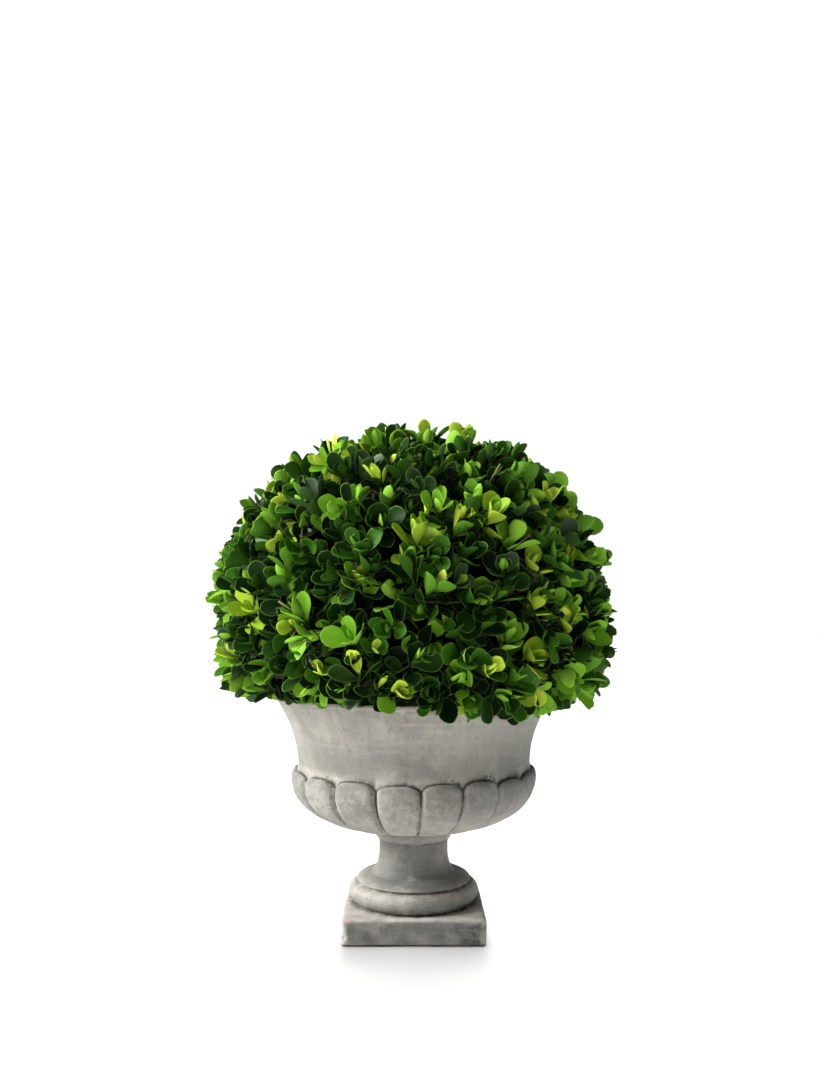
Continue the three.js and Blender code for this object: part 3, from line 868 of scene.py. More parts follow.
def urn_mottled(at):
    """Where dark mottles show: the lobes, more so higher up, and the foot."""
    lobes = (1 - rise(at.edge, 1.0, 1.3)) * (0.3 + 0.7 * rise(at.height, BOWL_BOTTOM + 9, BELLY_HEIGHT - 2))
    return np.where(at.on_bowl, lobes, 0.6 - 0.52 * at.on_wall)


def urn_settled(at):
    """Darker grey low on the wall and high on the lobes, under the wall's flare: settled grey and painted
    shade.
    """
    lobes = 0.62 * rise(at.height, BOWL_BOTTOM + 19, GADROON_TOP - 0.5)
    wall = 0.66 * at.on_wall * (1 - rise(at.height, THROAT_HEIGHT + 3, RIM_HEIGHT - 20))
    return np.where(at.on_bowl & (at.edge < 1), lobes, wall)


# %% Brush strokes and marks on the turned part


def stroke_ways(points, at):
    """Two ways that brush strokes run: in rings, which tilt on the bowl, and in sweeps up it."""
    rings = points * [0.03, 0.03, 0.30]
    rings[:, 2] += 6 * (1 - at.on_wall) * at.right * rise(at.height, COLLAR_HEIGHT, BELLY_HEIGHT)
    return rings, np.column_stack([at.out * 8.5, at.height * 0.04 + 0.01 * points[:, 0]])


mark(
    turned,
    grime=urn_grime(turned_at),
    slate=urn_slate(turned_at),
    worn=urn_worn(turned_at),
    mottled=urn_mottled(turned_at),
    settled=urn_settled(turned_at),
    chipped=0,
    lobe_edge=np.where(turned_at.on_bowl, np.minimum(turned_at.edge, FAR), FAR),
)
rings, sweeps = stroke_ways(turned_points, turned_at)
mark_ways(turned, rings=rings, sweeps=sweeps)
print("stored:", [layer.name for layer in turned.data.attributes if layer.domain == "POINT"])

# %% [markdown]
# ## The plinth
#
# The square foot is a block whose edges have been knocked. A bevel would round every edge alike, so
# the block is cut into a fine grid first and its corners are drawn in to a rounded form, and then
# each vertex moves by noise: wide waves on the sides, and bites where an edge is. The grid crowds
# towards the edges, because that is where the wear is.

# %% The plinth
PLINTH_HALF = Vector((PLINTH_WIDTH / 2, PLINTH_WIDTH / 2, PLINTH_HEIGHT / 2))
PLINTH_CUTS = 39  # across each side


def plinth_block():
    """A square block with rounded edges, cut fine enough to be worn."""
    bm = bmesh.new()
    bmesh.ops.create_cube(bm, size=2)
    bmesh.ops.subdivide_edges(bm, edges=bm.edges, cuts=PLINTH_CUTS, use_grid_fill=True)
    flat = Vector(PLINTH_HALF[i] - PLINTH_ROUND[i] for i in range(3))
    for vert in bm.verts:
        spot = Vector(PLINTH_HALF[i] * math.sin(vert.co[i] * math.pi / 2) for i in range(3))
        inner = Vector(max(-flat[i], min(flat[i], spot[i])) for i in range(3))
        past = Vector((spot[i] - inner[i]) / PLINTH_ROUND[i] for i in range(3))
        if past.length > 1e-6:
            past.normalize()
            spot = inner + Vector(past[i] * PLINTH_ROUND[i] for i in range(3))
        vert.co = spot + Vector((0, 0, PLINTH_HALF.z))
    return mesh_object("urn_plinth", bm, [URN_FINISH])


# %% Wearing the plinth


class PlinthPlaces:
    """For each vertex, before it is worn: how near it is to a side, an edge and the floor."""

    def __init__(self, points):
        self.side = np.abs(points[:, :2]).max(1)
        self.along = np.abs(points[:, :2]).min(1)  # how far along a side, from its middle
        half, height = PLINTH_HALF.x, points[:, 2]
        by_side = rise(self.side, half - 3, half - 0.5)
        top_edge = by_side * rise(height, PLINTH_HEIGHT - 3.4, PLINTH_HEIGHT - 1)
        corner = rise(self.along, half - 6, half - 2) * rise(self.side, half - 3, half - 1)
        foot_edge = by_side * (1 - rise(height, 0.6, 2.6))
        self.edges = np.maximum.reduce([top_edge, corner, 0.8 * foot_edge])
        self.above = rise(height, 0, 1.5)  # 0 on the underside, which stays flat


def wear_plinth(points, at):
    """Moves the sides in wide waves, and bites pieces out of the edges."""
    waves = at.above * (uneven(points, 24, 0.7, 5) + uneven(points, 6, 0.3, 6)) + 0.3
    bites = np.clip(uneven(points, 6, 1.0, 7) - 0.22, 0, 1) * at.edges * 3.0
    points[:, :2] += points[:, :2] / at.side[:, None] * (waves - at.above * bites)[:, None]
    sag = uneven(points, 20, 0.3, 8) - 0.5 * bites
    points[:, 2] += at.above * sag * rise(points[:, 2], 8, PLINTH_HEIGHT)


# %% Wear, dirt and a painted shadow on the plinth
# (x, y, z) of the chips that show bare clay, along the top edges
CHIPS = ((-50, -55, 18.5), (-14, -55, 19), (47, -55, 19), (55, -22, 18))
CHIP_SIZE = (2.6, 3, 1.5)


def plinth_chips(points):
    chipped = np.zeros(len(points))
    for spot in CHIPS:
        apart = np.linalg.norm((points - np.array(spot)) / CHIP_SIZE, axis=1)
        chipped = np.maximum(chipped, 1 - rise(apart, 0.5, 1.1))
    return chipped


def mark_plinth(plinth, points, at):
    height, right = points[:, 2], points[:, 0] / PLINTH_HALF.x
    on_top = rise(height, PLINTH_HEIGHT - 1.2, PLINTH_HEIGHT - 0.4)
    from_torus = np.hypot(points[:, 0], points[:, 1]) - TORUS_RADIUS + 3
    blotches = rise(uneven(points, 10, 1.0, 10), -0.3, 0.2)
    toward_ends = rise(at.along, 12, 46) * (0.6 + 0.4 * right)
    by_torus = on_top * hump(from_torus, 0, 3.5)
    # a painted shadow line along the plinth's foot, where it meets the floor
    floor_shadow = 1.4 * (1 - rise(height, 0.2, 1.5))
    on_sides = (1 - on_top) * 0.95 * blotches * (1 - at.edges) * toward_ends
    slate = (1 - on_top) * (0.58 + 0.38 * blotches) * (1 - 0.8 * at.edges) + 0.1 * on_top
    rubbed = at.edges * (0.35 + 0.65 * rise(uneven(points, 9, 1.0, 15), -0.2, 0.25))
    mark(
        plinth,
        grime=np.maximum.reduce([by_torus, floor_shadow, on_sides]),
        slate=slate * (0.87 + 0.13 * right),
        worn=np.maximum(0.9 * rubbed, 0.72 * on_top),
        mottled=0.45,
        settled=0,
        chipped=plinth_chips(points),
        lobe_edge=FAR,
    )
    mark_ways(plinth, rings=points * [0.05, 0.05, 0.4], sweeps=points * [0.12, 0.12, 0.10])


def worn_plinth():
    plinth = plinth_block()
    points = places(plinth)
    at = PlinthPlaces(points)
    wear_plinth(points, at)
    put_back(plinth, points)
    mark_plinth(plinth, points, at)
    return plinth


# %% The urn in its place
urn_pieces = [turned, worn_plinth()]
for piece in urn_pieces:
    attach(piece, "root")
    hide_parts("urn")
    print(piece.name, len(piece.data.polygons), "faces")
for lamp in floor_lamps:
    shade_only_from(lamp, urn_pieces[1])

# %% [markdown]
# ## The filling
#
# A light cushion of moss closes the bowl just under its rim and holds the stem. Moss is a surface of
# small domes. The absolute value of a smooth noise gives such domes with creases between them, so a
# plain turned disc is pushed up by two sizes of it, and is coloured by noise of the same kind.

# %% The filling
FILLING_HEIGHT = 180
MOSS_TOP = FILLING_HEIGHT - 1.6
MOSS_DEPTH = 14
MOSS_GAP = 0.4  # inside the solid's edge


def moss_finish():
    moss = Layers("moss", (0.085, 0.095, 0.028), 0.95, shine=0.0)
    moss.lay((0.19, 0.20, 0.06), moss.share(moss.noise(160, detail=6, roughness=0.7), 0.45, 0.7))
    moss.lay((0.05, 0.035, 0.018), moss.share(moss.noise(420, detail=4), 0.56, 0.7))
    moss.raise_by(moss.noise(700, detail=4), 0.0012)
    return moss.done()


def mossy_filling():
    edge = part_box("filling")[1].x / MM - MOSS_GAP
    bottom = MOSS_TOP - MOSS_DEPTH
    profile = line((0, bottom), (edge - 3, bottom), 10) + [(edge - 1, bottom + 2)]
    profile += line((edge, bottom + 5), (edge, MOSS_TOP - 3), 4) + [(edge - 1, MOSS_TOP - 1)]
    profile += line((edge - 2.5, MOSS_TOP), (0, MOSS_TOP), 60)
    disc = mesh_object("filling_moss", spin(profile, 180), [moss_finish()])
    points = places(disc)
    radius = np.hypot(points[:, 0], points[:, 1])
    on_top = (points[:, 2] > MOSS_TOP - 0.5) * (1 - rise(radius, edge - 6, edge - 2))
    domes = np.abs(uneven(points, 7, 4.2, 11)) + np.abs(uneven(points, 2.6, 1.6, 12))
    points[:, 2] += on_top * (domes - 1.0)
    put_back(disc, points)
    return disc


filling = mossy_filling()
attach(filling, "root")
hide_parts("filling")
print(filling.name, len(filling.data.polygons), "faces")

# %% [markdown]
# ## The stem
#
# The stem is old box wood: pale grey-brown, with bark that splits lengthwise. It is a tapering
# turned trunk with a root flare, and its ridges are real relief: noise that is stretched along the
# stem moves each vertex in or out. A slight lean is added last, so that the ridges follow it.

# %% The stem
STEM_FOOT_RADIUS = 13
STEM_RADIUS = 8.5
STEM_TIP_RADIUS = 5.5
STEM_TOP = 246
STEM_LEAN = 5
STEM_FOOT = FILLING_HEIGHT + 0.3  # just clear of the filling
ROOT_FLARE = 9  # how quickly the flare dies away up the stem
BARK_RIDGE = 1.5


def bark_finish():
    bark = Layers("bark", (0.30, 0.245, 0.175), 0.9, shine=0.1)
    splits = bark.noise(420, detail=5, roughness=0.65, place=bark.stretched(1, 1, 0.12))
    bark.lay((0.13, 0.095, 0.06), bark.share(splits, 0.52, 0.66))
    bark.lay((0.42, 0.37, 0.29), bark.share(bark.noise(90), 0.5, 0.7), 0.6)
    bark.raise_by(splits, -0.0008)
    return bark.done()


def stem_outline():
    profile = [(0, STEM_FOOT)]
    for height in np.linspace(STEM_FOOT, STEM_TOP - 2, 54):
        share = (height - STEM_FOOT) / (STEM_TOP - STEM_FOOT)
        flare = (STEM_FOOT_RADIUS - STEM_RADIUS - 1) * math.exp(-share * ROOT_FLARE)
        profile.append((STEM_RADIUS + (STEM_TIP_RADIUS - STEM_RADIUS) * share + flare, height))
    return profile + [(STEM_TIP_RADIUS - 1.5, STEM_TOP - 0.8), (0, STEM_TOP - 0.5)]


def bark_stem():
    stem = mesh_object("stem_bark", spin(stem_outline(), 60), [bark_finish()])
    points = places(stem)
    radius = np.maximum(np.hypot(points[:, 0], points[:, 1]), 1e-6)
    out = points[:, :2] / radius[:, None]
    stretched = np.column_stack([out * 9, points[:, 2:] * 0.1])
    ridges = -np.abs(uneven(stretched, 1.6, BARK_RIDGE, 13)) + uneven(stretched, 4, 0.9, 14)
    points[:, :2] += out * (ridges * rise(radius, 2, 5))[:, None]
    points[:, 0] += STEM_LEAN * ((points[:, 2] - STEM_FOOT) / (STEM_TOP - STEM_FOOT)) ** 2
    put_back(stem, points)
    return stem


stem = bark_stem()
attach(stem, "root")
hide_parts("stem")
print(stem.name, len(stem.data.polygons), "faces")

# %% [markdown]
# ## The clipped outline
#
# Shears give the ball its outline, and no twig or leaf goes more than a little past it. The outline
# is a ball squared off slightly at its shoulders, which one formula gives in any direction, so a tip
# can be tested without any mesh. Below it the foliage must also keep clear of the urn, and it hangs
# over the rim in some places more than in others.

# %% The clipped outline
BALL_CENTRE = Vector((0, 0, 248))
BALL_HALF_WIDTH = 167
BALL_HALF_HEIGHT = 160
BALL_POWER = 2.2  # 2 is a true ellipse; more makes squarer shoulders
STRAY = 1.025  # how far past the outline a tip may stray, as a share of it
ABOVE_RIM = 1.5  # how far foliage keeps above the rim, or else outside it
OUTSIDE_RIM = 1.9
LOWEST_LEAF = RIM_HEIGHT - 13
FRONT = (-85, 80)  # degrees from straight ahead, positive to the right
HANG_FROM = 2  # degrees: left of here the front is clipped to the rim, and right of it it hangs
HANG_WITHIN = 8


def ball_reach(direction):
    """How far the clipped outline stands from the ball's centre, in a direction of length 1."""
    flat = math.hypot(direction.x, direction.y) / BALL_HALF_WIDTH
    upright = abs(direction.z) / BALL_HALF_HEIGHT
    return (flat**BALL_POWER + upright**BALL_POWER) ** (-1 / BALL_POWER)


def in_own_space(point):
    """False where a tip would leave the clipped space or touch the urn."""
    radius = math.hypot(point.x, point.y)
    if point.z < RIM_HEIGHT + ABOVE_RIM and radius < RIM_RADIUS + OUTSIDE_RIM:
        return False
    if point.z < LOWEST_LEAF:
        return False
    out = point - BALL_CENTRE
    return out.length < STRAY * ball_reach(out.normalized())


def drape_at(point):
    """How far leaves hang over the rim at a place round it: from 0, where they are clipped, to 1."""
    angle = math.degrees(math.atan2(point.x, -point.y))
    drape = 0.5 + 0.9 * noise.noise(Vector((point.x, point.y, 0)).normalized() * 2)
    if FRONT[0] < angle < FRONT[1]:
        drape = (angle - HANG_FROM) / HANG_WITHIN
    return min(1, max(0, drape))


def hem_height(point):
    """The lowest that a leaf's tip may hang at a place round the rim."""
    return LOWEST_LEAF + (1 - drape_at(point)) * (RIM_HEIGHT - ABOVE_RIM - LOWEST_LEAF)


print("ball", 2 * BALL_HALF_WIDTH, "mm wide, with leaves down to", LOWEST_LEAF, "mm")

# %% [markdown]
# ## Limbs
#
# The twigs follow one seeded rule, the same that shaped the solid ball. Limbs leave a core evenly
# all round, at golden-angle steps, and each forks once, so no two lean alike. The seed makes the
# same ball each time: the numbers must be drawn in the same order as in the solid's rule, also
# where a draw isn't needed here.

# %% Seeded numbers and even directions
SEED = 19


def seeded(state):
    """A seeded stream of numbers from 0 to 1."""
    word = 0xFFFFFFFF
    state &= word

    def next_number():
        nonlocal state
        state = (state + 0x6D2B79F5) & word
        mixed = ((state ^ (state >> 15)) * (1 | state)) & word
        mixed = ((mixed + (((mixed ^ (mixed >> 7)) * (61 | mixed)) & word)) & word) ^ mixed
        return (mixed ^ (mixed >> 14)) / 4294967296

    return next_number


def spread_directions(count, lowest, jitter, random):
    """Directions spread evenly over a ball, from straight up down to lowest."""
    golden = math.pi * (3 - math.sqrt(5))
    made = []
    for i in range(count):
        z = 1 - (i + 0.4) / count * (1 - lowest)
        flat = math.sqrt(1 - z * z)
        even = (flat * math.cos(i * golden), flat * math.sin(i * golden), z)
        made.append(Vector([part + jitter * (random() - 0.5) for part in even]).normalized())
    return made


def frame_along(direction, turn):
    """The rotation that takes +Z to a direction, after a turn about itself."""
    swing = Vector((0, 0, 1)).rotation_difference(direction)
    return swing @ Quaternion((0, 0, 1), turn)


# %% Limbs
LIMBS = 54
LOWEST_LIMB = -0.43  # the height of the lowest direction, where straight down is -1
LIMB_WANDER = 0.08
CORE_SHARE = 0.8
LIMB_ROOT = 9  # how far a limb starts inside the core
LIMB_LEAN = math.radians(26)
FORK_AT = 0.2
FORK_LEAN = math.radians(38)
TIP_SHARE = 0.918  # how much of the way to the outline a limb reaches


def forked_limb(direction, random):
    """A main limb from the core and the side limb that leaves it, as (foot, tip) pairs."""
    reach = ball_reach(direction)
    swing = frame_along(direction, 2 * math.pi * random())

    def limb(start, lean, tip_share, root):
        along = swing @ Vector((math.sin(lean), 0, math.cos(lean)))
        climb = tip_share * reach - (start - BALL_CENTRE).length
        tip = start + along * (climb / math.cos(lean))
        random()  # the solid's twigs have three sides and take a turn here, which a round one doesn't
        return start - along * root, tip

    def vary(span):
        return span * (random() - 0.5)

    surface = BALL_CENTRE + direction * (CORE_SHARE * reach)
    main = limb(surface, -LIMB_LEAN * (1 + vary(0.5)), TIP_SHARE + vary(0.04), LIMB_ROOT)
    fork = surface.lerp(main[1], FORK_AT)
    side = limb(fork, FORK_LEAN * (1 + vary(0.3)), TIP_SHARE + vary(0.04), 0)
    return main, side


def grow_limbs():
    random = seeded(SEED)
    limbs = []
    for direction in spread_directions(LIMBS, LOWEST_LIMB, LIMB_WANDER, random):
        main, side = forked_limb(direction, random)
        if not in_own_space(main[1]):
            continue
        limbs.append(main)
        if in_own_space(side[1]):
            limbs.append(side)
    return limbs


limbs = grow_limbs()
print(len(limbs), "limbs")

# %% [markdown]
# ## Shoots
#
# Here the rule is carried one step further. A hedge fills itself after each clipping: wherever light
# gets in, a shoot grows from the nearest limb to the clipped face. So the tips are spread evenly
# over the outline first, and each then finds its limb. One more ring of shoots lies out over the
# urn's rim, where the foliage hangs.

# %% Shoots
SHOOTS = 640
LOWEST_SHOOT = -0.50
SHOOT_WANDER = 0.09
SHOOT_LENGTH = 30  # what a shoot would like to be
SHOOT_STRAY = 1.35  # how unlike each other they lean
SHOOT_LIFT = 0.42  # how much they turn up to the light
SET_BACK = (12, 17)  # the least that a tip stays inside the outline, and how much more it may
UNDERSIDE = FILLING_HEIGHT + 8
RIM_SHOOTS = 84


def curved_shoot(foot, tip, axis):
    """(foot, middle, tip, axis): a shoot that bends from its limb to the way that it ends up facing."""
    middle = tip - axis * 0.55 * (tip - foot).length
    return foot, middle.lerp(foot.lerp(tip, 0.5), 0.35), tip, axis


def ball_shoots(feet, random):
    """Shoots to points spread evenly over the outline, but for those that would touch the urn."""
    shoots = []
    for direction in spread_directions(SHOOTS, LOWEST_SHOOT, SHOOT_WANDER, random):
        reach = ball_reach(direction)
        under = (BALL_CENTRE.z - UNDERSIDE) / max(1e-6, -direction.z)
        hangs = direction.z < 0 and under < reach
        reach = min(reach, under) if hangs else reach
        tip = BALL_CENTRE + direction * (reach - (SET_BACK[0] + SET_BACK[1] * random()))
        if math.hypot(tip.x, tip.y) < RIM_RADIUS + 4 and tip.z < RIM_HEIGHT + 4:
            continue
        foot = min(
            feet,
            key=lambda spot: (spot - tip).length + 0.6 * abs((tip - spot).length - SHOOT_LENGTH),
        )
        lean = Vector(random() - 0.5 for _ in range(3)) * SHOOT_STRAY
        axis = direction + 0.22 * (tip - foot).normalized() + lean + Vector((0, 0, SHOOT_LIFT))
        if hangs:
            axis += Vector((direction.x, direction.y, -0.5)) * 0.6
        shoots.append(curved_shoot(foot, tip, axis.normalized()))
    return shoots


# %% Shoots over the rim


def rim_shoots(feet, random):
    """Shoots that lie out over the rim, lower and further out where the foliage hangs."""
    shoots = []
    for i in range(RIM_SHOOTS):
        angle = 2 * math.pi * (i + 0.6 * random()) / RIM_SHOOTS
        out = Vector((math.cos(angle), math.sin(angle), 0))
        drape = drape_at(out)
        stand_out = RIM_RADIUS - 7 + 9 * random() + 9 * drape
        tip = out * stand_out + Vector((0, 0, RIM_HEIGHT + 6 + 6 * random() - 2 * drape))
        axis = out + Vector((random() - 0.5, random() - 0.5, random() - 0.8 - 1.9 * drape)) * 0.7
        foot = min(feet, key=lambda spot: (spot - tip).length)
        shoots.append(curved_shoot(foot, tip, axis.normalized()))
    return shoots


feet = [foot.lerp(tip, share) for foot, tip in limbs for share in (0.35, 0.6, 0.85, 1.0)]
shoot_numbers = seeded(SEED + 1)
over_ball = ball_shoots(feet, shoot_numbers)
shoots = over_ball + rim_shoots(feet, shoot_numbers)
print(len(shoots), "shoots,", RIM_SHOOTS, "of them over the rim")

# %% [markdown]
# ## Twigs
#
# Box twigs are thin and stiff, olive green when young and grey-brown below. A curve with a bevel
# would draw one, but the ball has hundreds, and the export wants a few joined meshes. So each twig
# is a short tapering tube, worked out as lists of points and faces, and all twigs of a kind go into
# one mesh. Here and there the shears have left a bare cut stub beside a shoot.

# %% Twigs
STUB_LENGTH = 16
STUB_EVERY = 11
LIMB_RADII = [2.4, 2.1, 1.8, 1.5, 1.1]
SHOOT_RADII = [1.15, 1.05, 0.95, 0.8, 0.5]
STUB_RADII = [0.75, 0.7, 0.65]
LIMB_BOW = 1.6


def tapering_tube(path, radii, sides):
    """Points and faces of a tube along a path, with a flat fan of faces over each end."""
    spots, faces = [], []
    count = len(path)
    for i, spot in enumerate(path):
        along = (path[min(i + 1, count - 1)] - path[max(i - 1, 0)]).normalized()
        swing = frame_along(along, 0)
        for k in range(sides):
            angle = 2 * math.pi * k / sides
            spots.append(spot + swing @ Vector((math.cos(angle), math.sin(angle), 0)) * radii[i])
    for low in range(0, (count - 1) * sides, sides):
        high = low + sides
        for k in range(sides):
            after = (k + 1) % sides
            faces.append((low + k, low + after, high + after, high + k))
    spots += [path[0], path[-1]]
    foot, tip, last = len(spots) - 2, len(spots) - 1, (count - 1) * sides
    faces += [(foot, (k + 1) % sides, k) for k in range(sides)]
    faces += [(tip, last + k, last + (k + 1) % sides) for k in range(sides)]
    return spots, faces


def joined_tubes(name, tubes, finish):
    verts, faces = [], []
    for spots, sides in tubes:
        faces += [tuple(v + len(verts) for v in side) for side in sides]
        verts += [tuple(spot * MM) for spot in spots]
    mesh = bpy.data.meshes.new(name)
    mesh.from_pydata(verts, [], faces)
    return linked(name, mesh, [finish])


# %% Limbs, shoots and stubs as tubes
OLD_WOOD = plain_finish("old_wood", (0.030, 0.025, 0.014), Roughness=0.9, Specular_IOR_Level=0.05)
YOUNG_WOOD = plain_finish("young_wood", (0.032, 0.050, 0.010), Roughness=0.7, Specular_IOR_Level=0.1)
CUT_WOOD = plain_finish("cut_wood", (0.22, 0.21, 0.09), Roughness=0.8, Specular_IOR_Level=0.1)


def limb_tube(limb):
    foot, tip = limb
    end = foot.lerp(tip, 0.97)
    while end.z < hem_height(end) + 4:
        end = end.lerp(foot, 0.2)  # no bare limb shows below the leaves
    path = [foot.lerp(end, share) for share in (0, 0.25, 0.5, 0.75, 1)]
    bow = Vector((0, 0, 1)).cross(tip - foot).normalized() * LIMB_BOW
    for i, share in enumerate((0, 0.7, 1, 0.7, 0)):
        path[i] += bow * share
    return tapering_tube(path, LIMB_RADII, 6)


def shoot_tube(shoot):
    foot, middle, tip, _ = shoot
    path = [foot.lerp(middle, s).lerp(middle.lerp(tip, s), s) for s in (0, 0.25, 0.5, 0.75, 1)]
    return tapering_tube(path, SHOOT_RADII, 5)


def stub_tube(shoot, random):
    """A twig cut short by the shears, beside a shoot."""
    _, middle, tip, axis = shoot
    aside = (axis + Vector(random() - 0.5 for _ in range(3)) * 0.9).normalized()
    foot = middle.lerp(tip, 0.6)
    end = foot + aside * (STUB_LENGTH * (0.6 + 0.7 * random()))
    while not in_own_space(end):
        end = end.lerp(foot, 0.2)
    return tapering_tube([foot, foot.lerp(end, 0.5), end], STUB_RADII, 6)


stub_numbers = seeded(SEED + 3)
foliage_pieces = [
    joined_tubes("twigs_limbs", map(limb_tube, limbs), OLD_WOOD),
    joined_tubes("twigs_shoots", map(shoot_tube, shoots), YOUNG_WOOD),
    joined_tubes("twigs_stubs", [stub_tube(s, stub_numbers) for s in over_ball[::STUB_EVERY]], CUT_WOOD),
]
print("twigs", sum(len(piece.data.polygons) for piece in foliage_pieces), "faces")

# %% [markdown]
# ## The dark heart
#
# Look into a clipped ball and there is only shade, from the old twigs and dead leaves inside.
# Thousands more leaves would draw it, at a great cost in faces. One dark, uneven closed shape behind
# the leaves does the same: a finely divided ball, drawn to the outline's own form at a smaller size,
# with a nearly flat floor over the filling.

# %% The dark heart
HEART_SHARE = 0.80
HEART_FLOOR = FILLING_HEIGHT + 6.5


def dark_heart():
    shade = Layers("heart_shade", (0.003, 0.0045, 0.0018), 1.0, shine=0.0)
    shade.lay((0.007, 0.011, 0.003), shade.share(shade.noise(90, detail=5), 0.5, 0.7))
    bm = bmesh.new()
    bmesh.ops.create_icosphere(bm, subdivisions=6, radius=1)
    for vert in bm.verts:
        out = vert.co.normalized()
        bumps = 7 * noise.noise(out * 9) + 3 * noise.noise(out * 23)
        spot = BALL_CENTRE + out * (HEART_SHARE * ball_reach(out) + bumps)
        vert.co = Vector((spot.x, spot.y, max(spot.z, HEART_FLOOR + 0.3 * bumps)))
    return mesh_object("foliage_heart", bm, [shade.done()])


foliage_pieces.append(dark_heart())
print("heart", len(foliage_pieces[-1].data.polygons), "faces")

# %% [markdown]
# ## One leaf
#
# A box leaf is a small leathery spoon: narrow at the foot, broadest past the middle, cupped about
# its midrib, dark and shining above, paler below, with a thin pale rim. It could be a flat card with
# a picture on it, but then its edge and its underside would look wrong from the side. So it is a
# closed blade in its own outline: a grid drawn to the outline, its rim inset, its underside a copy
# turned over and sunk a little. It has only a few dozen faces, because it is repeated thousands of
# times. Three outlines are enough, because every leaf is also stretched, cupped and curled.

# %% One leaf
LEAF_LENGTH = 25
LEAF_WIDTH = 14.6
LEAF_THICKNESS = 0.35
LEAF_CUP = 1.9  # how far its sides rise above its midrib
RIM_WIDTH = 0.38
BELOW, RIM = 1, 2  # the finishes' places on a leaf, with its upper side at 0
# (share of the length, share of the half width)
SPOON = ((0, 0.09), (0.17, 0.25), (0.38, 0.66), (0.60, 0.97), (0.79, 0.97), (0.93, 0.68), (1, 0.28))
NOTCHED = ((0, 0.09), (0.18, 0.28), (0.40, 0.72), (0.61, 0.98), (0.80, 1.0), (0.94, 0.78), (0.985, 0.45))
NARROW = ((0, 0.10), (0.18, 0.32), (0.38, 0.66), (0.57, 0.84), (0.75, 0.80), (0.90, 0.54), (1, 0.15))


def leaf_top(outline, tip_lift):
    """The flat upper side of a leaf, with its rim inset: foot at the origin and +Y to the tip."""
    bm = bmesh.new()
    last = len(outline) - 1
    bmesh.ops.create_grid(bm, x_segments=2, y_segments=last, size=1)
    for vert in bm.verts:
        row = round((vert.co.y + 1) / 2 * last)
        share, width = outline[row]
        reach = tip_lift if row == last and abs(vert.co.x) < 0.5 else 0
        vert.co = Vector((vert.co.x * width * LEAF_WIDTH / 2, share * LEAF_LENGTH + reach, 0))
    inset = bmesh.ops.inset_region(
        bm, faces=bm.faces[:], thickness=RIM_WIDTH, use_boundary=True, use_even_offset=True
    )
    for face in inset["faces"]:
        face.material_index = RIM
    return bm


# %% A closed blade


def give_underside(bm):
    """Closes a flat leaf with a copy of itself, turned over and sunk between its edges."""
    edge = {v for e in bm.edges if e.is_boundary for v in e.verts}
    copy = bmesh.ops.duplicate(bm, geom=bm.faces[:])
    lower = [g for g in copy["geom"] if isinstance(g, bmesh.types.BMFace)]
    for face in lower:
        face.material_index = BELOW
    bmesh.ops.reverse_faces(bm, faces=lower)
    lower_edge = {v for f in lower for e in f.edges if e.is_boundary for v in e.verts}
    for vert in {v for f in lower for v in f.verts} - lower_edge:
        vert.co.z -= LEAF_THICKNESS
    bmesh.ops.remove_doubles(bm, verts=list(edge | lower_edge), dist=1e-4)


def leaf_blade(outline, tip_lift):
    """One closed leaf in millimetres, +Z its upper side, as arrays of places, faces and finishes."""
    bm = leaf_top(outline, tip_lift)
    give_underside(bm)
    for vert in bm.verts:
        vert.co.z += LEAF_CUP * (abs(vert.co.x) / (LEAF_WIDTH / 2)) ** 1.35
    bm.verts.index_update()
    spots = np.array([v.co[:] for v in bm.verts])
    quads = np.array([[v.index for v in f.verts] for f in bm.faces])
    slots = np.array([f.material_index for f in bm.faces])
    bm.free()
    return spots, quads, slots


BLADES = [leaf_blade(SPOON, 0.3), leaf_blade(NOTCHED, -0.5), leaf_blade(NARROW, 0.8)]
print("blade", len(BLADES[0][1]), "faces")

# %% [markdown]
# ## The colours of leaves
#
# A box bush is many greens at once: nearly black inside, deep and bluish on old leaves, fresh and
# yellow where it has just grown. A real shoot has one age, so a tone is dealt out by the shoot, and
# only its youngest pairs differ, and its lowest pairs, which often take a painted shade tone. Shoots
# that face left or right more often take a pale tone, as painted light for leaves lit from behind.
# Each tone is three plain finishes, for the upper side, the underside and the rim, because a pattern
# would not keep its place on so many joined leaves.

# %% The colours of leaves
# tone: (upper side, underside)
TONES = {
    "shade": ((0.0026, 0.0105, 0.0008), (0.009, 0.028, 0.003)),
    "deep": ((0.0075, 0.0320, 0.0020), (0.026, 0.080, 0.007)),
    "blue": ((0.0130, 0.0400, 0.0080), (0.048, 0.100, 0.024)),
    "mid": ((0.0325, 0.1290, 0.0048), (0.083, 0.218, 0.017)),
    "fresh": ((0.1680, 0.3850, 0.0200), (0.210, 0.430, 0.036)),
    "olive": ((0.2300, 0.3700, 0.0150), (0.290, 0.425, 0.031)),
    "lime": ((0.5200, 0.6900, 0.0520), (0.540, 0.700, 0.066)),
}
PALE_RIM = (0.26, 0.42, 0.08)
RIM_PALE = 0.45  # how far a rim goes from its underside's colour to that
SHEEN = {"blue": 0.27, "mid": 0.17}  # older leaves are waxier
LITTLE_SHEEN = 0.08
# (tone, the share of shoots up to and with it); the rest are deep
SHOOT_TONES = (("fresh", 0.18), ("olive", 0.25), ("mid", 0.50), ("blue", 0.61))
YOUNG_TIPS = 0.45  # the share of all shoots whose first pair is young
LIME_TIPS = 0.11  # and of those where it is lime
LIME_SECOND = 0.04  # and of those where the second pair is lime too
SHADED = 0.65  # the share of leaves given the painted shade tone, from the fourth pair down


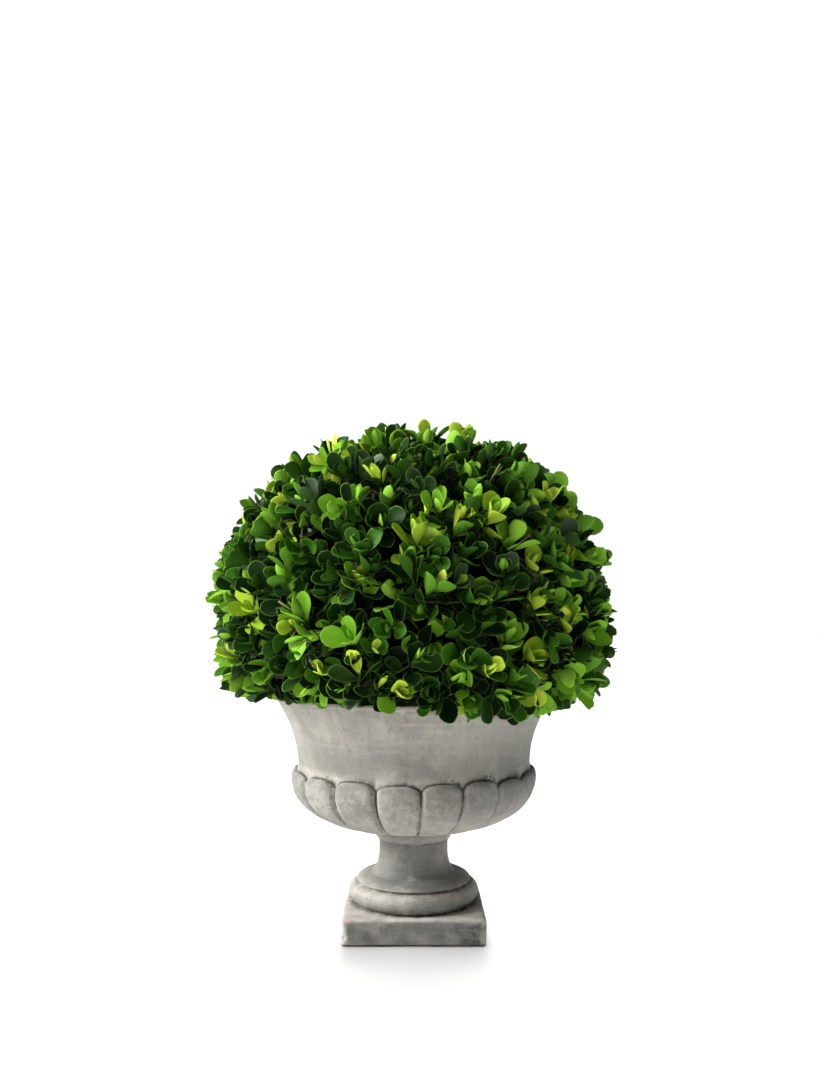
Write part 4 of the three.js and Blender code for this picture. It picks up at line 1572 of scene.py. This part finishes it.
def leaf_finishes(tone):
    top, below = TONES[tone]
    rim = tuple((1 - RIM_PALE) * b + RIM_PALE * r for b, r in zip(below, PALE_RIM))
    sheen = SHEEN.get(tone, LITTLE_SHEEN)
    return [
        plain_finish(f"leaf_{tone}_top", top, Roughness=0.46, Specular_IOR_Level=sheen),
        plain_finish(f"leaf_{tone}_below", below, Roughness=0.72, Specular_IOR_Level=0.04),
        plain_finish(f"leaf_{tone}_rim", rim, Roughness=0.6, Specular_IOR_Level=0.05),
    ]


# %% A tone for each leaf


def tone_of_shoot(axis, random):
    """A shoot's tone, more often a pale one where it faces left or right, as painted light for leaves lit
    from behind.
    """
    # painted light: shoots facing left or right lean to the pale tones
    backlit = max(0, abs(axis.x) - 0.45) / 0.55
    pick = random() - 0.28 * backlit * random()
    for tone, share in SHOOT_TONES:
        if pick < share:
            return tone
    return "deep"


def tone_of_leaf(own, level, young, random):
    """A leaf's tone: its shoot's own, but paler on a young tip and darker deep inside."""
    if level == 0 and young < YOUNG_TIPS:
        return "lime" if young < LIME_TIPS else "fresh"
    if level == 1 and young < LIME_SECOND:
        return "lime"
    if level > 2 and random() < SHADED:
        return "shade"
    return own


print(len(TONES), "tones")

# %% [markdown]
# ## Leaves on a shoot
#
# Box leaves stand in opposite pairs, each pair square to the last, small and upright at the tip and
# wide open below. Each leaf is kept as its foot, its three directions and its own measures, and no
# mesh is made yet. A leaf that would leave the clipped space is tried again smaller, and left out if
# it still does: the shears would have taken it.

# %% Leaves on a shoot
# (how far below the tip, how far it opens, size) of each pair
PAIRS = (
    (0.0, math.radians(13), 0.68),
    (3.2, math.radians(24), 0.86),
    (7.5, math.radians(35), 0.97),
    (12.5, math.radians(47), 1.00),
    (18.5, math.radians(58), 0.94),
)
YOUNG = 0.75  # size of the leaf that is tried where a full-grown one has no room
LOST = 0.06  # the share of leaves that the shears took
NOTCHED_SHARE = 0.12


def leaf_fits(foot, along, scale):
    middle, end = (foot + along * (share * LEAF_LENGTH * scale) for share in (0.5, 1))
    return in_own_space(end) and in_own_space(middle) and end.z >= hem_height(end)


def leaf_ways(axis, swing, face, opening, random):
    """The ways that a leaf points, faces and spreads, and the side of the shoot that it is on."""
    spin_round = face + 0.3 * (random() - 0.5)
    side = swing @ Vector((math.cos(spin_round), math.sin(spin_round), 0))
    open_by = opening * (1 + 0.5 * (random() - 0.5)) + 0.3 * (random() - 0.4)
    along = (axis * math.cos(open_by) + side * math.sin(open_by)).normalized()
    up = (axis * math.sin(open_by) - side * math.cos(open_by)).normalized()
    up = Quaternion(along, 1.2 * (random() - 0.5)) @ up
    return side, along, up


def leaf_measures(level, random):
    """A leaf's width, cup and curl, each its own."""
    cup = 0.8 + 0.9 * random()
    curl = 3.0 - 1.4 * level + 3.0 * (random() - 0.5)
    return 0.86 + 0.26 * random(), cup, curl


# %% Dressing every shoot


def dress_shoot(shoot, random, leaves):
    """Adds a shoot's leaves to the list of each tone."""
    _, _, tip, axis = shoot
    own = tone_of_shoot(axis, random)
    turn = 2 * math.pi * random()
    vigour = 0.80 + 0.26 * random()
    young = random()
    spread = 0.86 + 0.55 * random()
    for level, (below, opening, size) in enumerate(PAIRS):
        swing = frame_along(axis, turn + level * math.pi / 2 + 0.35 * (random() - 0.5))
        for face in (0, math.pi):
            if level > 0 and random() < LOST:
                continue
            side, along, up = leaf_ways(axis, swing, face, opening * spread, random)
            foot = tip - axis * (below * vigour) + side * 0.4
            scale = size * vigour * (0.84 + 0.3 * random())
            shape = 2 if level == 0 else (1 if random() < NOTCHED_SHARE else 0)
            tone = tone_of_leaf(own, level, young, random)
            measures = leaf_measures(level, random)
            if not leaf_fits(foot, along, scale):
                scale *= YOUNG
                if not leaf_fits(foot, along, scale):
                    continue
            leaves[tone][shape].append((foot, along.cross(up), along, up, scale, *measures))


leaves = {tone: [[], [], []] for tone in TONES}
leaf_numbers = seeded(SEED + 2)
for shoot in shoots:
    dress_shoot(shoot, leaf_numbers, leaves)
print({tone: sum(map(len, groups)) for tone, groups in leaves.items()})

# %% [markdown]
# ## Many leaves in one mesh
#
# Thousands of leaf objects would be slow, and instances are lost on export, so all leaves of a tone
# are joined. Numpy places every copy of a blade at once: one array of the blade's vertices, stretched
# and turned by one array of the leaves' own measures. Tones with many leaves are split, so that
# each piece stays light.

# %% Many leaves in one mesh
MOST_IN_A_PIECE = 1600


def placed_blades(spots, leaves):
    """The blade's vertices, in metres, on every leaf of a list."""
    foot, across, along, up = (np.array([leaf[i][:] for leaf in leaves])[:, None] for i in range(4))
    scale, width, cup, curl = (np.array([leaf[i] for leaf in leaves])[:, None] for i in range(4, 8))
    x, y, z = (spots[:, i][None] * scale for i in range(3))
    lift = z * cup + curl * (y / (LEAF_LENGTH * scale)) ** 2
    placed = foot + (x * width)[..., None] * across + y[..., None] * along + lift[..., None] * up
    return placed.reshape(-1, 3) * MM


# %% One mesh for each tone


def leaf_mesh(name, groups, finishes):
    """One mesh of many leaves: groups holds, for each blade, the leaves that take it."""
    all_spots, all_quads, all_slots, base = [], [], [], 0
    for (spots, quads, slots), group in zip(BLADES, groups):
        if not group:
            continue
        shifts = base + len(spots) * np.arange(len(group))[:, None, None]
        all_spots.append(placed_blades(spots, group))
        all_quads.append((quads[None] + shifts).reshape(-1, 4))
        all_slots.append(np.tile(slots, len(group)))
        base += len(group) * len(spots)
    spots, quads, slots = (np.concatenate(part) for part in (all_spots, all_quads, all_slots))
    mesh = bpy.data.meshes.new(name)
    mesh.vertices.add(len(spots))
    mesh.vertices.foreach_set("co", spots.astype(np.float32).ravel())
    mesh.loops.add(quads.size)
    mesh.loops.foreach_set("vertex_index", quads.astype(np.int32).ravel())
    mesh.polygons.add(len(quads))
    mesh.polygons.foreach_set("loop_start", np.arange(0, quads.size, 4, dtype=np.int32))
    mesh.update(calc_edges=True)
    piece = linked(name, mesh, finishes)
    mesh.polygons.foreach_set("material_index", slots.astype(np.int32))
    mesh.validate()
    return piece


def leaf_pieces(tone, groups):
    parts = math.ceil(sum(map(len, groups)) / MOST_IN_A_PIECE)
    finishes = leaf_finishes(tone)
    for part in range(parts):
        name = f"leaves_{tone}" + (f"_{part + 1}" if parts > 1 else "")
        yield leaf_mesh(name, [group[part::parts] for group in groups], finishes)


for tone, groups in leaves.items():
    foliage_pieces += leaf_pieces(tone, groups)
for piece in foliage_pieces:
    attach(piece, "root")
    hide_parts("foliage_ball")
    print(piece.name, sum(len(p.vertices) - 2 for p in piece.data.polygons), "triangles")

# %% [markdown]
# ## Size
#
# The dressed object may pass the box of its solids by a few millimetres of leaf at most.
